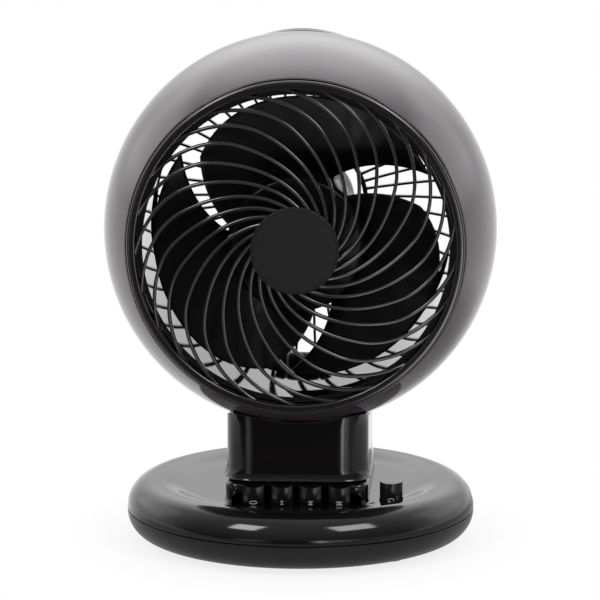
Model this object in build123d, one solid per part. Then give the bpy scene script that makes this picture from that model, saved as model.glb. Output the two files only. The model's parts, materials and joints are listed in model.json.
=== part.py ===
from build123d import *
import math
import os

# Desk air circulator: a glossy globe with a spiral front grille, carried on a rounded neck that
# swings on a round base.  Millimetres.  Origin: middle of the base, on the table.
# +Z is up, the fan blows towards -Y, +X is the side of the swing key.

# ---------------------------------------------------------------- running and seating clearances
running_fit = 0.05          # shaft in its bush, pin in its hinge, all on the radius
slide_gap = 0.4             # keys in their guides
seat_gap = 0.3              # moulded pieces that drop into one another
sweep_gap = 1.6             # globe over the neck, through the whole tilt

# ---------------------------------------------------------------- globe
globe_radius = 105.0
globe_bottom = 64.3         # lowest point of the globe above the table
shell_wall = 2.4
front_draw = 13.5           # the front half is drawn out on an arc larger by this much
split_depth = 20.0          # plane behind the centre where the two shells meet
spigot_length = 4.0
spigot_wall = 1.6

front_opening_radius = 89.4
grille_seat_depth = 2.8     # the grille ring drops this far into the front opening
seat_lip_width = 4.1
seat_lip_wall = 2.2
rear_opening_radius = 86.4
rear_lip_width = 5.4
rear_lip_wall = 2.3

# ---------------------------------------------------------------- shell screws
screw_shank = 1.5
screw_head = 3.0
screw_head_height = 2.0
screw_hole = screw_shank + running_fit
boss_radius = 4.2
shell_boss_inset = 7.5      # from the globe's outside to the screw axes
shell_boss_angles = (45, 135, 225, 315)
shell_screw_seat = 10.0     # head stands this far behind the split
shell_screw_length = 17.0

# ---------------------------------------------------------------- carrying handle
handle_half_width = 26.0
handle_front = 20.3
handle_back = 35.5
handle_rise = 2.0
handle_crown_radius = 67.0
handle_thickness = 6.0
handle_lean = 15.5          # degrees behind the top of the globe
pocket_front = 23.5
pocket_back = 54.0
pocket_deep = 27.0          # floor below the top of the globe, at the front of the pocket
pocket_shallow = 17.8       # and at its back
pocket_wall = 2.2

# ---------------------------------------------------------------- front grille
rib_count = 25
rib_width = 2.4
rib_depth = 3.4
rib_twist = 62.0            # degrees that a rib turns while its radius grows by the factor e
rib_phase = -1.6            # degrees clockwise from the top at the hub
grille_dome_radius = 430.0
grille_hub_forward = 7.2    # the hub stands this far in front of the opening's edge
grille_hub_radius = 22.4
grille_hub_plate = 3.0
ring_band = 5.8
ring_depth = 5.6
ring_edge_round = 1.6
badge_radius = 23.3
badge_thickness = 2.4
badge_edge_round = 0.8
badge_scallop_radius = 4.0
badge_scallop_depth = 0.45

# ---------------------------------------------------------------- inner duct
duct_inner_radius = 80.6
duct_wall = 1.8
duct_back = 8.0
duct_flange_wall = 2.0
duct_flare = 3.0
duct_screw_angles = (0, 60, 120, 180, 240, 300)

# ---------------------------------------------------------------- rear grille
rear_rib_count = 48
rear_rib_width = 1.4
rear_rib_depth = 3.2
rear_dome_rise = 32.3       # the rear grille stands this far behind the rear opening
rear_rim_radius = 86.0
rear_rim_height = 3.5
rear_inner_ring_radius = 33.5
rear_inner_ring_wall = 2.5
rear_plate_radius = 26.0
rear_plate_wall = 3.4
rear_spoke_count = 4
rear_spoke_width = 7.0
carrier_screw_angles = (45, 135, 225, 315)
rear_spoke_turn = 45.0      # the spokes stand diagonally

# ---------------------------------------------------------------- motor, on the globe's axis
shaft_radius = 3.0
motor_radius = 25.0
motor_can_wall = 1.5
motor_front = -4.0
stator_front = 6.0
stator_length = 20.0
motor_back = 36.0
stator_bore = 14.0
air_gap = 0.6
stator_teeth = 8
tooth_width = 4.6
stator_yoke = 4.0
winding_overhang = 4.6
bell_slot_count = 6
bell_slot_half_width = 2.0
bell_slot_inner = 12.0
bell_slot_outer = 19.0
bearing_wall = 2.0
bearing_radius = 6.5
bearing_length = 5.0
carrier_wall = 2.0
carrier_radius = 26.0
carrier_front_wall = 2.4
carrier_screw_circle = 20.0

# ---------------------------------------------------------------- fan blade
blade_count = 3
blade_tip_radius = 74.0
blade_hub_radius = 20.0
blade_hub_depth = 28.0
blade_hub_wall = 2.0
blade_span = 106.0          # degrees of one blade as seen from the front
blade_sweep = 0.85          # degrees clockwise for each millimetre outwards
blade_middle = 115.8        # degrees clockwise from the top, at the sweep radius
blade_sweep_radius = 57.0
blade_behind_hub = 32.0     # middle of the blades behind the front grille's hub
blade_depth = 30.0          # from the front edge of a blade to its back edge
blade_camber = 2.5
blade_corner_drop = 9.0
blade_thickness = 1.8
shaft_behind_hub = 11.0
nut_radius = 9.0
nut_height = 6.0
boss_wall = 4.0

# ---------------------------------------------------------------- tilt hinge
tilt_axis_depth = 22.0
tilt_axis_rise = 23.7       # tilt axis above the lowest point of the globe
tilt_back = 25.0            # degrees that the globe leans back from level
tilt_pin_radius = 3.0
post_half_width = 7.0
post_lobe_radius = 8.5
fork_lobe_radius = 9.0
fork_cheek = 4.5
washer_thickness = 1.2
washer_gap = 0.1
pin_head_radius = 5.5
pin_head_height = 3.4
pin_tail = 5.0              # threaded end of the pin past the fork
pin_nut_height = 4.4
notch_half_width = 9.6
notch_front = 12.0
notch_back = 42.0
fork_pad_half_width = 22.0
fork_pad_back = 47.0
fork_pad_wall = 2.6
fork_screw_x = 17.0
fork_screw_y = (28.0, 41.0)
fork_screw_bite = 1.8       # how far the screws go into the shell

# ---------------------------------------------------------------- neck
neck_depth = 90.0
neck_corner = 15.0
neck_wall = 2.4
foot_spread = 1.7           # the foot flares out by this much
foot_height = 4.2
foot_fillet = 0.9           # in the corner between the column and its foot
foot_edge_round = 0.7
neck_clear_of_base = 1.0
swing_each_way = 35.0       # degrees
neck_screw_inset = 8.7
neck_screw_sink = 1.4       # the heads are let into the plate
neck_screw_head = 1.3
neck_screw_length = 10.0
neck_overlap = 16.0         # the neck's sides reach this far up round the globe
neck_boss_radius = 5.0
neck_boss_top = 56.0
plate_wall = 3.0
post_foot_wall = 3.0
post_foot_width = 34.0
post_foot_back = 33.0
post_foot_front = -2.0
post_rib = 3.0
post_brace_drop = 6.0       # the braces end this far below the globe
post_screw_spread = 16.0
post_screw_head = 1.6

# ---------------------------------------------------------------- base
base_radius = 93.4
base_wall = 2.4
seam_height = 17.0
seam_groove = 0.5
rim_round = 14.4
crest_radius = base_radius - rim_round
crest_height = 32.6
dish_radius = 60.0
dish_height = 29.0
tray_round = 14.0
tray_bottom = 2.0
tray_step = 2.0             # spigot of the tray inside the cover
pod_width = 76.0
pod_depth = 94.0
pod_corner = 7.0
pod_height = 39.6
pod_top_wall = 3.0
pod_edge_round = 2.0
pod_foot_round = 2.0
foot_pad_radius = 7.0
foot_circle = 70.0
foot_angles = (45, 135, 225, 315)
base_screw_circle = 62.0
base_screw_angles = (0, 90, 180, 270)
base_boss_top = 22.0
inlet_height = 11.0
inlet_radius = 4.4
inlet_bore = 3.0
inlet_flange = 5.8
inlet_flange_wall = 1.8
inlet_length = 9.0

# ---------------------------------------------------------------- swivel and swing drive
bush_outer = 20.0
hub_radius = 18.0
hub_bore = 12.0
bush_flange = 30.0
retainer_radius = 23.0
arm_gap = 0.3
arm_wall = 3.4
crank_axis = 22.0           # behind the swivel axis
crank_pin_radius = 2.0
crank_slot_gap = 0.85       # the pin strays a little from the arm's middle as both turn
crank_wheel_radius = 18.4
crank_wheel_wall = 2.4
crank_under_arm = 3.0
arm_half_width = 5.2
arm_screw_circle = 15.0
arm_screw_angles = (60, 180, 300)
arm_screw_bite = 5.0        # how far the screws go into the swivel plate
drive_shaft_radius = 3.0
drive_motor_radius = 24.0
drive_motor_bottom = 7.0
drive_motor_top = 23.0
drive_ear_length = 31.0
drive_ear_half_width = 5.0
drive_ear_wall = 2.0
drive_screw_x = 27.5

# ---------------------------------------------------------------- keys
key_count = 4
key_pitch = 15.2
key_width = 11.5
key_depth = 9.6
key_stand_out = 4.6         # front of the keys before the front of the pod
key_bulge = 1.4
key_proud = 0.2             # keys above the pod
key_skirt = 4.0             # keys below the cover's inner face
key_travel = 3.5
key_edge_round = 0.7
key_dip = 1.5               # how far the hollow for the finger dips into a key
key_stem_width = 6.0
key_stem_depth = 4.0
key_spare_travel = 1.0
well_end_room = 4.1
well_front_room = 1.6
well_front_radius = 57.4    # the well's front edge follows the base
well_end_top = 34.5         # the pod closes over both ends of the well
well_end_round = 3.5
well_back_room = 2.4
guide_margin = 3.5
guide_wall = 2.4
switch_end_room = 0.6
switch_half_depth = 8.0
switch_top = 18.6
switch_slot_bottom = 7.5
terminal_half_width = 2.4
terminal_length = 6.0
terminal_rise = 4.0
terminal_wall = 0.8
swing_key_x = 50.0
swing_key_y = -38.0
swing_key_width = 12.0
swing_key_depth = 10.0
swing_key_proud = 0.3
swing_key_dip = 0.8
swing_guide_wall = 2.0

# ---------------------------------------------------------------- derived places
globe_height = globe_bottom + globe_radius
front_bulge_radius = globe_radius + front_draw
bulge_centre = globe_radius - front_bulge_radius
shell_boss_circle = globe_radius - shell_boss_inset
pocket_deep_floor = globe_radius - pocket_deep
pocket_shallow_floor = globe_radius - pocket_shallow
front_opening_y = -math.sqrt(front_bulge_radius**2 - (front_opening_radius - bulge_centre)**2)
ring_radius = front_opening_radius - 0.5 - seat_gap
seat_plane = front_opening_y + grille_seat_depth
lip_back = seat_plane + seat_lip_wall
lip_bore = front_opening_radius - 0.5 - seat_lip_width
grille_hub_front = front_opening_y - grille_hub_forward
blade_plane = grille_hub_front + blade_behind_hub
shaft_front = grille_hub_front + shaft_behind_hub
rear_opening_y = math.sqrt(globe_radius**2 - rear_opening_radius**2)
rear_dome_back = rear_opening_y + rear_dome_rise
rear_lip_bore = rear_opening_radius - rear_lip_width
duct_outer_radius = duct_inner_radius + duct_wall
swivel_plane = pod_height + neck_clear_of_base
neck_width = pod_width
neck_half_width = neck_width / 2
neck_half_depth = neck_depth / 2
neck_screw_x = neck_half_width - neck_screw_inset
neck_screw_y = neck_half_depth - neck_screw_inset
tray_floor = tray_bottom + base_wall
arm_top = pod_height - pod_top_wall - arm_gap
arm_bottom = arm_top - arm_wall
crank_wheel_top = arm_bottom - crank_under_arm
crank_throw = crank_axis * math.tan(math.radians(swing_each_way))
tilt_axis_height = globe_bottom + tilt_axis_rise
tilt_z = tilt_axis_height - globe_height       # hinge height measured from the globe centre
cheek_inside = post_half_width + washer_gap + washer_thickness
key_row_half = key_count * key_pitch / 2
key_front = -pod_depth / 2 - key_stand_out
key_top = pod_height + key_proud
key_bottom = dish_height - base_wall - key_skirt
key_stem_bottom = switch_slot_bottom + key_travel + key_spare_travel
well_half_length = key_row_half + well_end_room
well_front = key_front - well_front_room
well_back = key_front + key_depth + well_back_room
switch_half_length = key_row_half + switch_end_room
swing_key_top = pod_height + swing_key_proud

head_place = Pos(0, 0, globe_height)
front_plane = Plane((0, 0, 0), x_dir=(1, 0, 0), z_dir=(0, -1, 0))
side_plane = Plane((0, 0, 0), x_dir=(0, 1, 0), z_dir=(1, 0, 0))
low_end = (Align.CENTER, Align.CENTER, Align.MIN)


# ---------------------------------------------------------------- small helpers
def disc(radius, low, high):
    """Round bar standing on Z."""
    return Pos(0, 0, low) * Cylinder(radius, high - low, align=low_end)


def tube(outer, bore, low, high):
    """Round tube standing on Z."""
    return disc(outer, low, high) - disc(bore, low - 1, high + 1)


def block(x0, x1, y0, y1, z0, z1):
    """Box between two corners."""
    return Pos((x0 + x1) / 2, (y0 + y1) / 2, (z0 + z1) / 2) * Box(x1 - x0, y1 - y0, z1 - z0)


def lay_back(shape):
    """Turn a shape that stands on Z so that it points to +Y."""
    return Rot(-90, 0, 0) * shape


def axial_disc(radius, front, back):
    """Round bar along Y."""
    return lay_back(disc(radius, front, back))


def axial_tube(outer, bore, front, back):
    """Round tube along Y."""
    return axial_disc(outer, front, back) - axial_disc(bore, front - 1, back + 1)


def spun(*curves):
    """Solid of revolution about Y, from a closed outline of radius and depth."""
    return revolve(make_face(Curve() + list(curves)), Axis.Y, 360)


def around(circle, angle):
    """Place on a circle about Y, clockwise from the top as seen from the front."""
    turn = math.radians(angle)
    return Pos(circle * math.sin(turn), 0, circle * math.cos(turn))


def plate_corner(width, depth, corner, low, high):
    """Upright prism with a rounded rectangular plan."""
    return extrude(Pos(0, 0, low) * RectangleRounded(width, depth, corner), high - low)


def screw(length, head_radius=screw_head, head_height=screw_head_height):
    """Screw along Z: the underside of its head is at 0 and its shank points down."""
    return disc(head_radius, 0, head_height) + disc(screw_shank, -length, 0)


def radius_at(depth, wall=0.0):
    """Radius of the globe at a depth along Y, on a skin that lies wall inside the outer face."""
    if depth < 0:
        return bulge_centre + math.sqrt((front_bulge_radius - wall)**2 - depth**2)
    return math.sqrt((globe_radius - wall)**2 - depth**2)


def skin_arc(start, end, wall=0.0):
    """Arc of the globe's section between two depths on the same side of the centre."""
    points = [(radius_at(y, wall), y) for y in (start, (start + end) / 2, end)]
    return ThreePointArc(*points)


def skin_arc_front(start, end, wall=0.0):
    """As skin_arc, on the drawn-out front half, where the arc reaches the centre plane."""
    middle = (start + end) / 2
    ends = [(bulge_centre + math.sqrt((front_bulge_radius - wall)**2 - y**2), y)
            for y in (start, middle, end)]
    return ThreePointArc(*ends)


# ---------------------------------------------------------------- head: shells
def hinge_notch():
    """Slot in the underside of the globe for the neck post."""
    return block(-notch_half_width, notch_half_width, notch_front, notch_back,
                 -globe_radius - 5, -globe_radius + 25)


def front_shell():
    inner_at_lip = radius_at(lip_back, shell_wall)
    edge = front_opening_radius
    shell = spun(
        skin_arc_front(front_opening_y, 0),
        skin_arc(0, split_depth),
        Line((radius_at(split_depth), split_depth), (radius_at(split_depth, shell_wall), split_depth)),
        skin_arc(split_depth, 0, shell_wall),
        skin_arc_front(0, lip_back, shell_wall),
        Polyline((inner_at_lip, lip_back), (lip_bore, lip_back), (lip_bore, seat_plane),
                 (edge - 0.5, seat_plane), (edge - 0.5, front_opening_y), (edge, front_opening_y)))
    tip = split_depth + spigot_length
    root = split_depth - spigot_length
    spigot = spun(Polyline(
        (radius_at(root, shell_wall) + 0.5, root),
        (radius_at(split_depth, shell_wall) + 0.5, split_depth),
        (radius_at(split_depth, shell_wall) - seat_gap, split_depth),
        (radius_at(tip, shell_wall) - seat_gap, tip),
        (radius_at(tip, shell_wall) - spigot_wall, tip),
        (radius_at(root, shell_wall) - spigot_wall / 2, root),
        (radius_at(root, shell_wall) + 0.5, root)))
    shell += spigot
    for angle in shell_boss_angles:
        shell += shell_boss(angle, root - 8, split_depth)
    for angle in shell_boss_angles:
        hole = axial_disc(screw_hole, root - 6, split_depth + 1)
        shell -= around(shell_boss_circle, angle) * hole
        shell -= Rot(0, angle, 0) * block(-boss_radius - seat_gap, boss_radius + seat_gap, split_depth, tip + 1,
                                          shell_boss_circle - boss_radius - seat_gap, globe_radius)
    for angle in duct_screw_angles:
        shell -= around(duct_screw_circle(), angle) * axial_disc(screw_hole, lip_back - 1.4, lip_back + 1)
    gap = handle_half_width + pocket_wall + seat_gap
    shell -= block(-gap, gap, split_depth, tip + 1, 60, globe_radius)
    return shell - hinge_notch()


def shell_boss(angle, front, back):
    """Screw post inside the globe, joined to the wall by a web."""
    post = around(shell_boss_circle, angle) * axial_disc(boss_radius, front, back)
    web = Rot(0, angle, 0) * block(-boss_radius / 2, boss_radius / 2, front, back,
                                   shell_boss_circle, globe_radius)
    return (post + web) & (Sphere(globe_radius - shell_wall / 2))


def handle_crown():
    """Grip of the carrying handle: a lens that stands proud of the globe behind the split."""
    lean = math.radians(handle_lean)
    drop = globe_radius + handle_rise - handle_crown_radius
    crown = Pos(0, drop * math.sin(lean), drop * math.cos(lean)) * Sphere(handle_crown_radius)
    body = (crown + Sphere(globe_radius)) - Sphere(globe_radius + handle_rise - handle_thickness)
    reach = handle_half_width + pocket_wall
    return body & block(-reach, reach, handle_front, handle_back, 60, globe_radius + 5)


def pocket_prism(grow):
    """Finger pocket under the grip, or the pocket with its walls."""
    top = globe_radius + 10
    outline = Polyline(
        (pocket_front - grow, pocket_deep_floor - grow), (pocket_front - grow, top),
        (pocket_back + grow, top), (pocket_back + grow, pocket_shallow_floor - grow),
        (pocket_front - grow, pocket_deep_floor - grow))
    face = side_plane * make_face(outline)
    return extrude(face, handle_half_width + grow, both=True)


def rear_shell():
    inner_at_lip = rear_opening_y - rear_lip_wall
    shell = spun(
        skin_arc(split_depth, rear_opening_y),
        Polyline((rear_opening_radius, rear_opening_y), (rear_lip_bore, rear_opening_y),
                 (rear_lip_bore, inner_at_lip), (radius_at(inner_at_lip, shell_wall), inner_at_lip)),
        skin_arc(inner_at_lip, split_depth, shell_wall),
        Line((radius_at(split_depth, shell_wall), split_depth), (radius_at(split_depth), split_depth)))
    globe = Sphere(globe_radius)
    shell += pocket_prism(pocket_wall) & globe
    for angle in shell_boss_angles:
        shell += shell_boss(angle, split_depth, globe_radius)
    for angle in shell_boss_angles:
        seat = split_depth + shell_screw_seat
        shell -= around(shell_boss_circle, angle) * axial_disc(screw_hole, split_depth - 1, 50)
        shell -= around(shell_boss_circle, angle) * axial_disc(screw_head + seat_gap, seat, 60)
    shell -= pocket_prism(0)
    shell += handle_crown()
    for seat in fork_screw_seats():
        shell -= seat * disc(screw_hole, -fork_screw_bite, 1)
    return shell - hinge_notch()


def shell_screws():
    seat = split_depth + shell_screw_seat
    one = Pos(0, seat, 0) * lay_back(screw(shell_screw_length))
    return [around(shell_boss_circle, angle) * one for angle in shell_boss_angles]


# ---------------------------------------------------------------- head: front grille
def rib_angle(radius):
    """Angle of a front rib, clockwise from the top: an equiangular spiral."""
    return rib_phase - rib_twist * math.log(radius / badge_radius)


def spiral_rib_plan(inner, outer):
    """Plan of one rib: the spiral, widened by half the rib on both sides."""
    lean = math.atan(math.radians(rib_twist))
    left = []
    right = []
    steps = 8
    for step in range(steps + 1):
        radius = inner + (outer - inner) * step / steps
        turn = math.radians(rib_angle(radius))
        heading = turn - lean
        x, z = radius * math.sin(turn), radius * math.cos(turn)
        dx, dz = rib_width / 2 * math.cos(heading), -rib_width / 2 * math.sin(heading)
        left.append((x - dx, z - dz))
        right.append((x + dx, z + dz))
    outline = Curve() + [Spline(left), Line(left[-1], right[-1]), Spline(right), Line(left[0], right[0])]
    return make_face(outline)


def dome_shell(radius, thickness, apex, bulge_forward):
    """Spherical skin about Y whose highest point is at the apex depth."""
    centre = apex + radius if bulge_forward else apex - radius
    return Pos(0, centre, 0) * (Sphere(radius) - Sphere(radius - thickness))


def front_grille():
    apex = grille_hub_front - 0.4
    dome = dome_shell(grille_dome_radius, rib_depth, apex, True)
    slab = axial_disc(ring_radius - 1, apex - 5, seat_plane)
    dome = dome & slab
    strip = extrude(front_plane * spiral_rib_plan(grille_hub_radius - 2, ring_radius - ring_band + 1.5),
                    80)
    rib = strip & dome
    ring_bore = ring_radius - ring_band
    ring_front = seat_plane - ring_depth
    ring = axial_tube(ring_radius, ring_bore, ring_front, seat_plane)
    rim = ring.edges().filter_by(GeomType.CIRCLE).group_by(Axis.Y)[0].sort_by(SortBy.RADIUS)[-1]
    ring = fillet(rim, ring_edge_round)
    hub = axial_disc(grille_hub_radius, grille_hub_front, grille_hub_front + grille_hub_plate)
    grille = ring + hub
    pitch = 360 / rib_count
    ribs = [Rot(0, pitch * index, 0) * rib for index in range(rib_count)]
    return grille + ribs


def grille_badge():
    front = grille_hub_front - badge_thickness
    badge = axial_disc(badge_radius, front, grille_hub_front)
    badge = fillet(badge.edges().group_by(Axis.Y)[0], badge_edge_round)
    middle = badge_radius + badge_scallop_radius - badge_scallop_depth
    plan = Circle(badge_radius + 1) - PolarLocations(middle, rib_count) * Circle(badge_scallop_radius)
    return badge & lay_back(Pos(0, 0, front - 1) * extrude(plan, badge_thickness + 2))


# ---------------------------------------------------------------- head: duct and rear grille
def inner_duct():
    front = seat_plane + seat_gap
    flange_back = lip_back + duct_flange_wall
    flange_radius = radius_at(lip_back, shell_wall) - 2 * seat_gap
    flare_start = duct_back - duct_flare
    flare_mid = duct_flare * (1 - math.cos(math.pi / 4))
    flare_rise = duct_flare * math.sin(math.pi / 4)
    inner, outer = duct_inner_radius, duct_outer_radius
    duct = spun(
        Polyline((inner, flare_start), (inner, front), (outer, front), (outer, lip_back),
                 (flange_radius, lip_back), (flange_radius, flange_back), (outer, flange_back),
                 (outer, flare_start)),
        ThreePointArc((outer, flare_start), (outer + flare_mid / 2, flare_start + flare_rise),
                      (outer + duct_flare / 2, duct_back)),
        Line((outer + duct_flare / 2, duct_back), (inner + duct_flare / 2, duct_back)),
        ThreePointArc((inner + duct_flare / 2, duct_back),
                      (inner + flare_mid / 2, flare_start + flare_rise), (inner, flare_start)))
    for angle in duct_screw_angles:
        duct -= around(duct_screw_circle(), angle) * axial_disc(screw_hole, front - 1, flange_back + 1)
    return duct


def duct_screw_circle():
    return (lip_bore + ring_radius) / 2 + 0.4


def duct_screws():
    seat = lip_back + duct_flange_wall
    length = duct_flange_wall + 1.2
    one = Pos(0, seat, 0) * lay_back(screw(length, screw_head - 1, screw_head_height / 2))
    return [around(duct_screw_circle(), angle) * one for angle in duct_screw_angles]


def rear_dome_radius():
    rise = rear_dome_back - rear_opening_y - rear_rim_height
    chord = rear_rim_radius - 2
    return (chord**2 + rise**2) / (2 * rise)


def rear_skin(radius):
    """Depth of the rear grille's outer face at a radius."""
    dome = rear_dome_radius()
    return rear_dome_back - dome + math.sqrt(dome**2 - radius**2)


def rear_grille():
    dome = dome_shell(rear_dome_radius(), rear_rib_depth, rear_dome_back, False)
    dome = dome & axial_disc(rear_rim_radius - 1, rear_opening_y, rear_dome_back + 5)
    bar = block(-rear_rib_width / 2, rear_rib_width / 2, rear_opening_y, rear_dome_back + 5,
                rear_inner_ring_radius - 1.5, rear_rim_radius - 2)
    rib = bar & dome
    grille = axial_tube(rear_rim_radius, rear_lip_bore, rear_opening_y, rear_opening_y + rear_rim_height)
    ring_back = rear_skin(rear_inner_ring_radius)
    ring_front = ring_back - rear_rib_depth - 1
    ring_bore = rear_inner_ring_radius - rear_inner_ring_wall
    grille += axial_tube(rear_inner_ring_radius, ring_bore, ring_front, ring_back)
    plate_back = ring_front + rear_plate_wall
    grille += axial_disc(rear_plate_radius, ring_front, plate_back)
    for index in range(rear_spoke_count):
        spoke = block(-rear_spoke_width / 2, rear_spoke_width / 2, ring_front, plate_back,
                      rear_plate_radius - 2, ring_bore + 1)
        grille += Rot(0, rear_spoke_turn + 360 / rear_spoke_count * index, 0) * spoke
    pitch = 360 / rear_rib_count
    grille += [Rot(0, pitch * (index + 0.5), 0) * rib for index in range(rear_rib_count)]
    for angle in carrier_screw_angles:
        hole = axial_disc(screw_hole, ring_front - 1, plate_back + 1)
        grille -= around(carrier_screw_circle, angle) * hole
    return grille


def carrier_back():
    return rear_skin(rear_inner_ring_radius) - rear_rib_depth - 1


def motor_carrier():
    back = carrier_back()
    cup = axial_disc(carrier_radius, motor_back, back)
    cup -= axial_disc(carrier_radius - carrier_wall, motor_back + carrier_front_wall, back + 1)
    cup -= axial_disc(shaft_radius + 3, motor_back - 1, motor_back + 5)
    for angle in carrier_screw_angles:
        post = axial_disc(boss_radius, back - 12, back)
        web = block(-1.2, 1.2, back - 12, back, carrier_screw_circle, carrier_radius - carrier_wall / 2)
        cup += around(carrier_screw_circle, angle) * post
        cup += Rot(0, angle, 0) * web
    for angle in carrier_screw_angles:
        cup -= around(carrier_screw_circle, angle) * axial_disc(screw_hole, back - 10, back + 1)
    return cup & axial_disc(carrier_radius, motor_back, back)


def carrier_screws():
    seat = carrier_back() + rear_plate_wall
    one = Pos(0, seat, 0) * lay_back(screw(rear_plate_wall + 8))
    return [around(carrier_screw_circle, angle) * one for angle in carrier_screw_angles]


# ---------------------------------------------------------------- head: motor
def motor_bell(outer_end, inner_end):
    """Pressed motor cover: a cup with a bearing seat in the middle of its end wall."""
    front, back = min(outer_end, inner_end), max(outer_end, inner_end)
    inward = 1 if inner_end > outer_end else -1
    wall = outer_end + inward * motor_can_wall
    seat_end = outer_end + inward * (bearing_length + motor_can_wall)
    bell = axial_disc(motor_radius, front, back)
    bell -= axial_disc(motor_radius - motor_can_wall, min(wall, inner_end + inward),
                       max(wall, inner_end + inward))
    bell += axial_disc(bearing_radius + bearing_wall, min(outer_end, seat_end), max(outer_end, seat_end))
    bell -= axial_disc(bearing_radius, min(wall, seat_end + inward), max(wall, seat_end + inward))
    bell -= axial_disc(shaft_radius + 1, front - 1, back + 1)
    slot = block(-bell_slot_half_width, bell_slot_half_width, outer_end - 2, outer_end + 2,
                 bell_slot_inner, bell_slot_outer)
    for index in range(bell_slot_count):
        bell -= Rot(0, 360 / bell_slot_count * index, 0) * slot
    return bell


def motor_stator():
    back = stator_front + stator_length
    yoke = axial_tube(motor_radius, motor_radius - stator_yoke, stator_front, back)
    for index in range(stator_teeth):
        tooth = block(-tooth_width / 2, tooth_width / 2, stator_front, back, stator_bore - 1, motor_radius - 2)
        yoke += Rot(0, 360 / stator_teeth * index, 0) * tooth
    return yoke - axial_disc(stator_bore, stator_front - 1, back + 1)


def motor_windings():
    """One coil round each tooth, standing out at both ends of the laminations."""
    front = stator_front - winding_overhang
    back = stator_front + stator_length + winding_overhang
    half = tooth_width / 2 + 2.2
    inner, outer = stator_bore + 1.6, motor_radius - stator_yoke - 0.6
    coils = []
    for index in range(stator_teeth):
        coil = block(-half, half, front, back, inner, outer)
        coil -= block(-tooth_width / 2 - 0.1, tooth_width / 2 + 0.1, stator_front - 0.1,
                      stator_front + stator_length + 0.1, inner - 1, outer + 1)
        coils.append(Rot(0, 360 / stator_teeth * index, 0) * coil)
    return coils


def motor_bearings():
    front = motor_front + motor_can_wall
    back = motor_back - motor_can_wall - bearing_length
    bore = shaft_radius + running_fit
    return [axial_tube(bearing_radius, bore, start, start + bearing_length) for start in (front, back)]


# ---------------------------------------------------------------- head: tilt fork
def fork_cheek_face():
    """Side view of one cheek of the fork, in depth and height from the globe centre."""
    lobe = Pos(tilt_axis_depth, tilt_z) * Circle(fork_lobe_radius)
    leg = make_face(Polyline(
        (tilt_axis_depth - fork_lobe_radius, tilt_z), (split_depth + 4, -globe_radius),
        (fork_pad_back - 5, -globe_radius), (tilt_axis_depth + fork_lobe_radius, tilt_z),
        (tilt_axis_depth - fork_lobe_radius, tilt_z)))
    return lobe + leg


def tilt_fork():
    skin = Sphere(globe_radius - shell_wall)
    front = split_depth + spigot_length + 1
    pad = (skin - Sphere(globe_radius - shell_wall - fork_pad_wall)) & block(
        -fork_pad_half_width, fork_pad_half_width, front, fork_pad_back, -globe_radius, -60)
    fork = pad
    face = side_plane * fork_cheek_face()
    keep = block(-30, 30, 0, fork_pad_back, -200, 0) - block(-30, 30, -10, front, -200, tilt_z - 12)
    for side in (-1, 1):
        inside = cheek_inside if side > 0 else -cheek_inside - fork_cheek
        cheek = Pos(inside, 0, 0) * extrude(face, fork_cheek)
        fork += cheek & skin & keep
    fork -= block(-notch_half_width, notch_half_width, front - 5, notch_back + 1, -globe_radius, tilt_z + 20) & (
        block(-cheek_inside, cheek_inside, 0, 60, -globe_radius, tilt_z + 20))
    pin_hole = Pos(0, tilt_axis_depth, tilt_z) * (Rot(0, 90, 0) * disc(tilt_pin_radius, -40, 40))
    fork -= pin_hole
    for seat in fork_screw_seats():
        fork -= seat * disc(screw_hole, -1, fork_pad_wall + 1)
    return fork


def fork_screw_seats():
    """Planes on the inside of the globe, facing its centre, where the fork is screwed down."""
    seats = []
    for x in (-fork_screw_x, fork_screw_x):
        for y in fork_screw_y:
            z = -math.sqrt((globe_radius - shell_wall)**2 - x**2 - y**2)
            seats.append(Plane((x, y, z), x_dir=(1, 0, -x / z), z_dir=(-x, -y, -z)).location)
    return seats


def tilt_fork_screws():
    one = Pos(0, 0, fork_pad_wall + running_fit) * screw(fork_pad_wall + fork_screw_bite)
    return [seat * one for seat in fork_screw_seats()]


def across(shape):
    """Turn a shape that stands on Z so that it lies on the tilt axis, pointing to +X."""
    return Pos(0, tilt_axis_depth, tilt_z) * (Rot(0, 90, 0) * shape)


def tilt_pin():
    outside = cheek_inside + fork_cheek
    return across(disc(tilt_pin_radius, -outside - pin_tail, outside)
                  + disc(pin_head_radius, outside, outside + pin_head_height))


def tilt_nut():
    outside = cheek_inside + fork_cheek
    nut = extrude(RegularPolygon(pin_head_radius, 6), pin_nut_height)
    nut -= disc(tilt_pin_radius, -1, pin_nut_height + 1)
    return across(Pos(0, 0, -outside - pin_nut_height) * nut)


def friction_washers():
    inner = post_half_width + washer_gap
    ring = tube(post_lobe_radius - 0.5, tilt_pin_radius, 0, washer_thickness)
    return [across(Pos(0, 0, inner) * ring), across(Pos(0, 0, -inner - washer_thickness) * ring)]


# ---------------------------------------------------------------- rotor
def blade_point(along, out):
    """Point of a blade: along runs from its front edge to its back edge, out from hub to tip."""
    corner = abs(2 * along - 1)**6
    tip = blade_tip_radius - blade_corner_drop * corner
    root = blade_hub_radius - 1.5
    radius = root + (tip - root) * out
    angle = blade_middle + blade_sweep * (radius - blade_sweep_radius) + blade_span * (along - 0.5)
    depth = blade_plane + blade_depth * (along - 0.5) + blade_camber * (1 - (2 * along - 1)**2)
    turn = math.radians(angle)
    return (radius * math.sin(turn), depth, radius * math.cos(turn))


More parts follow.
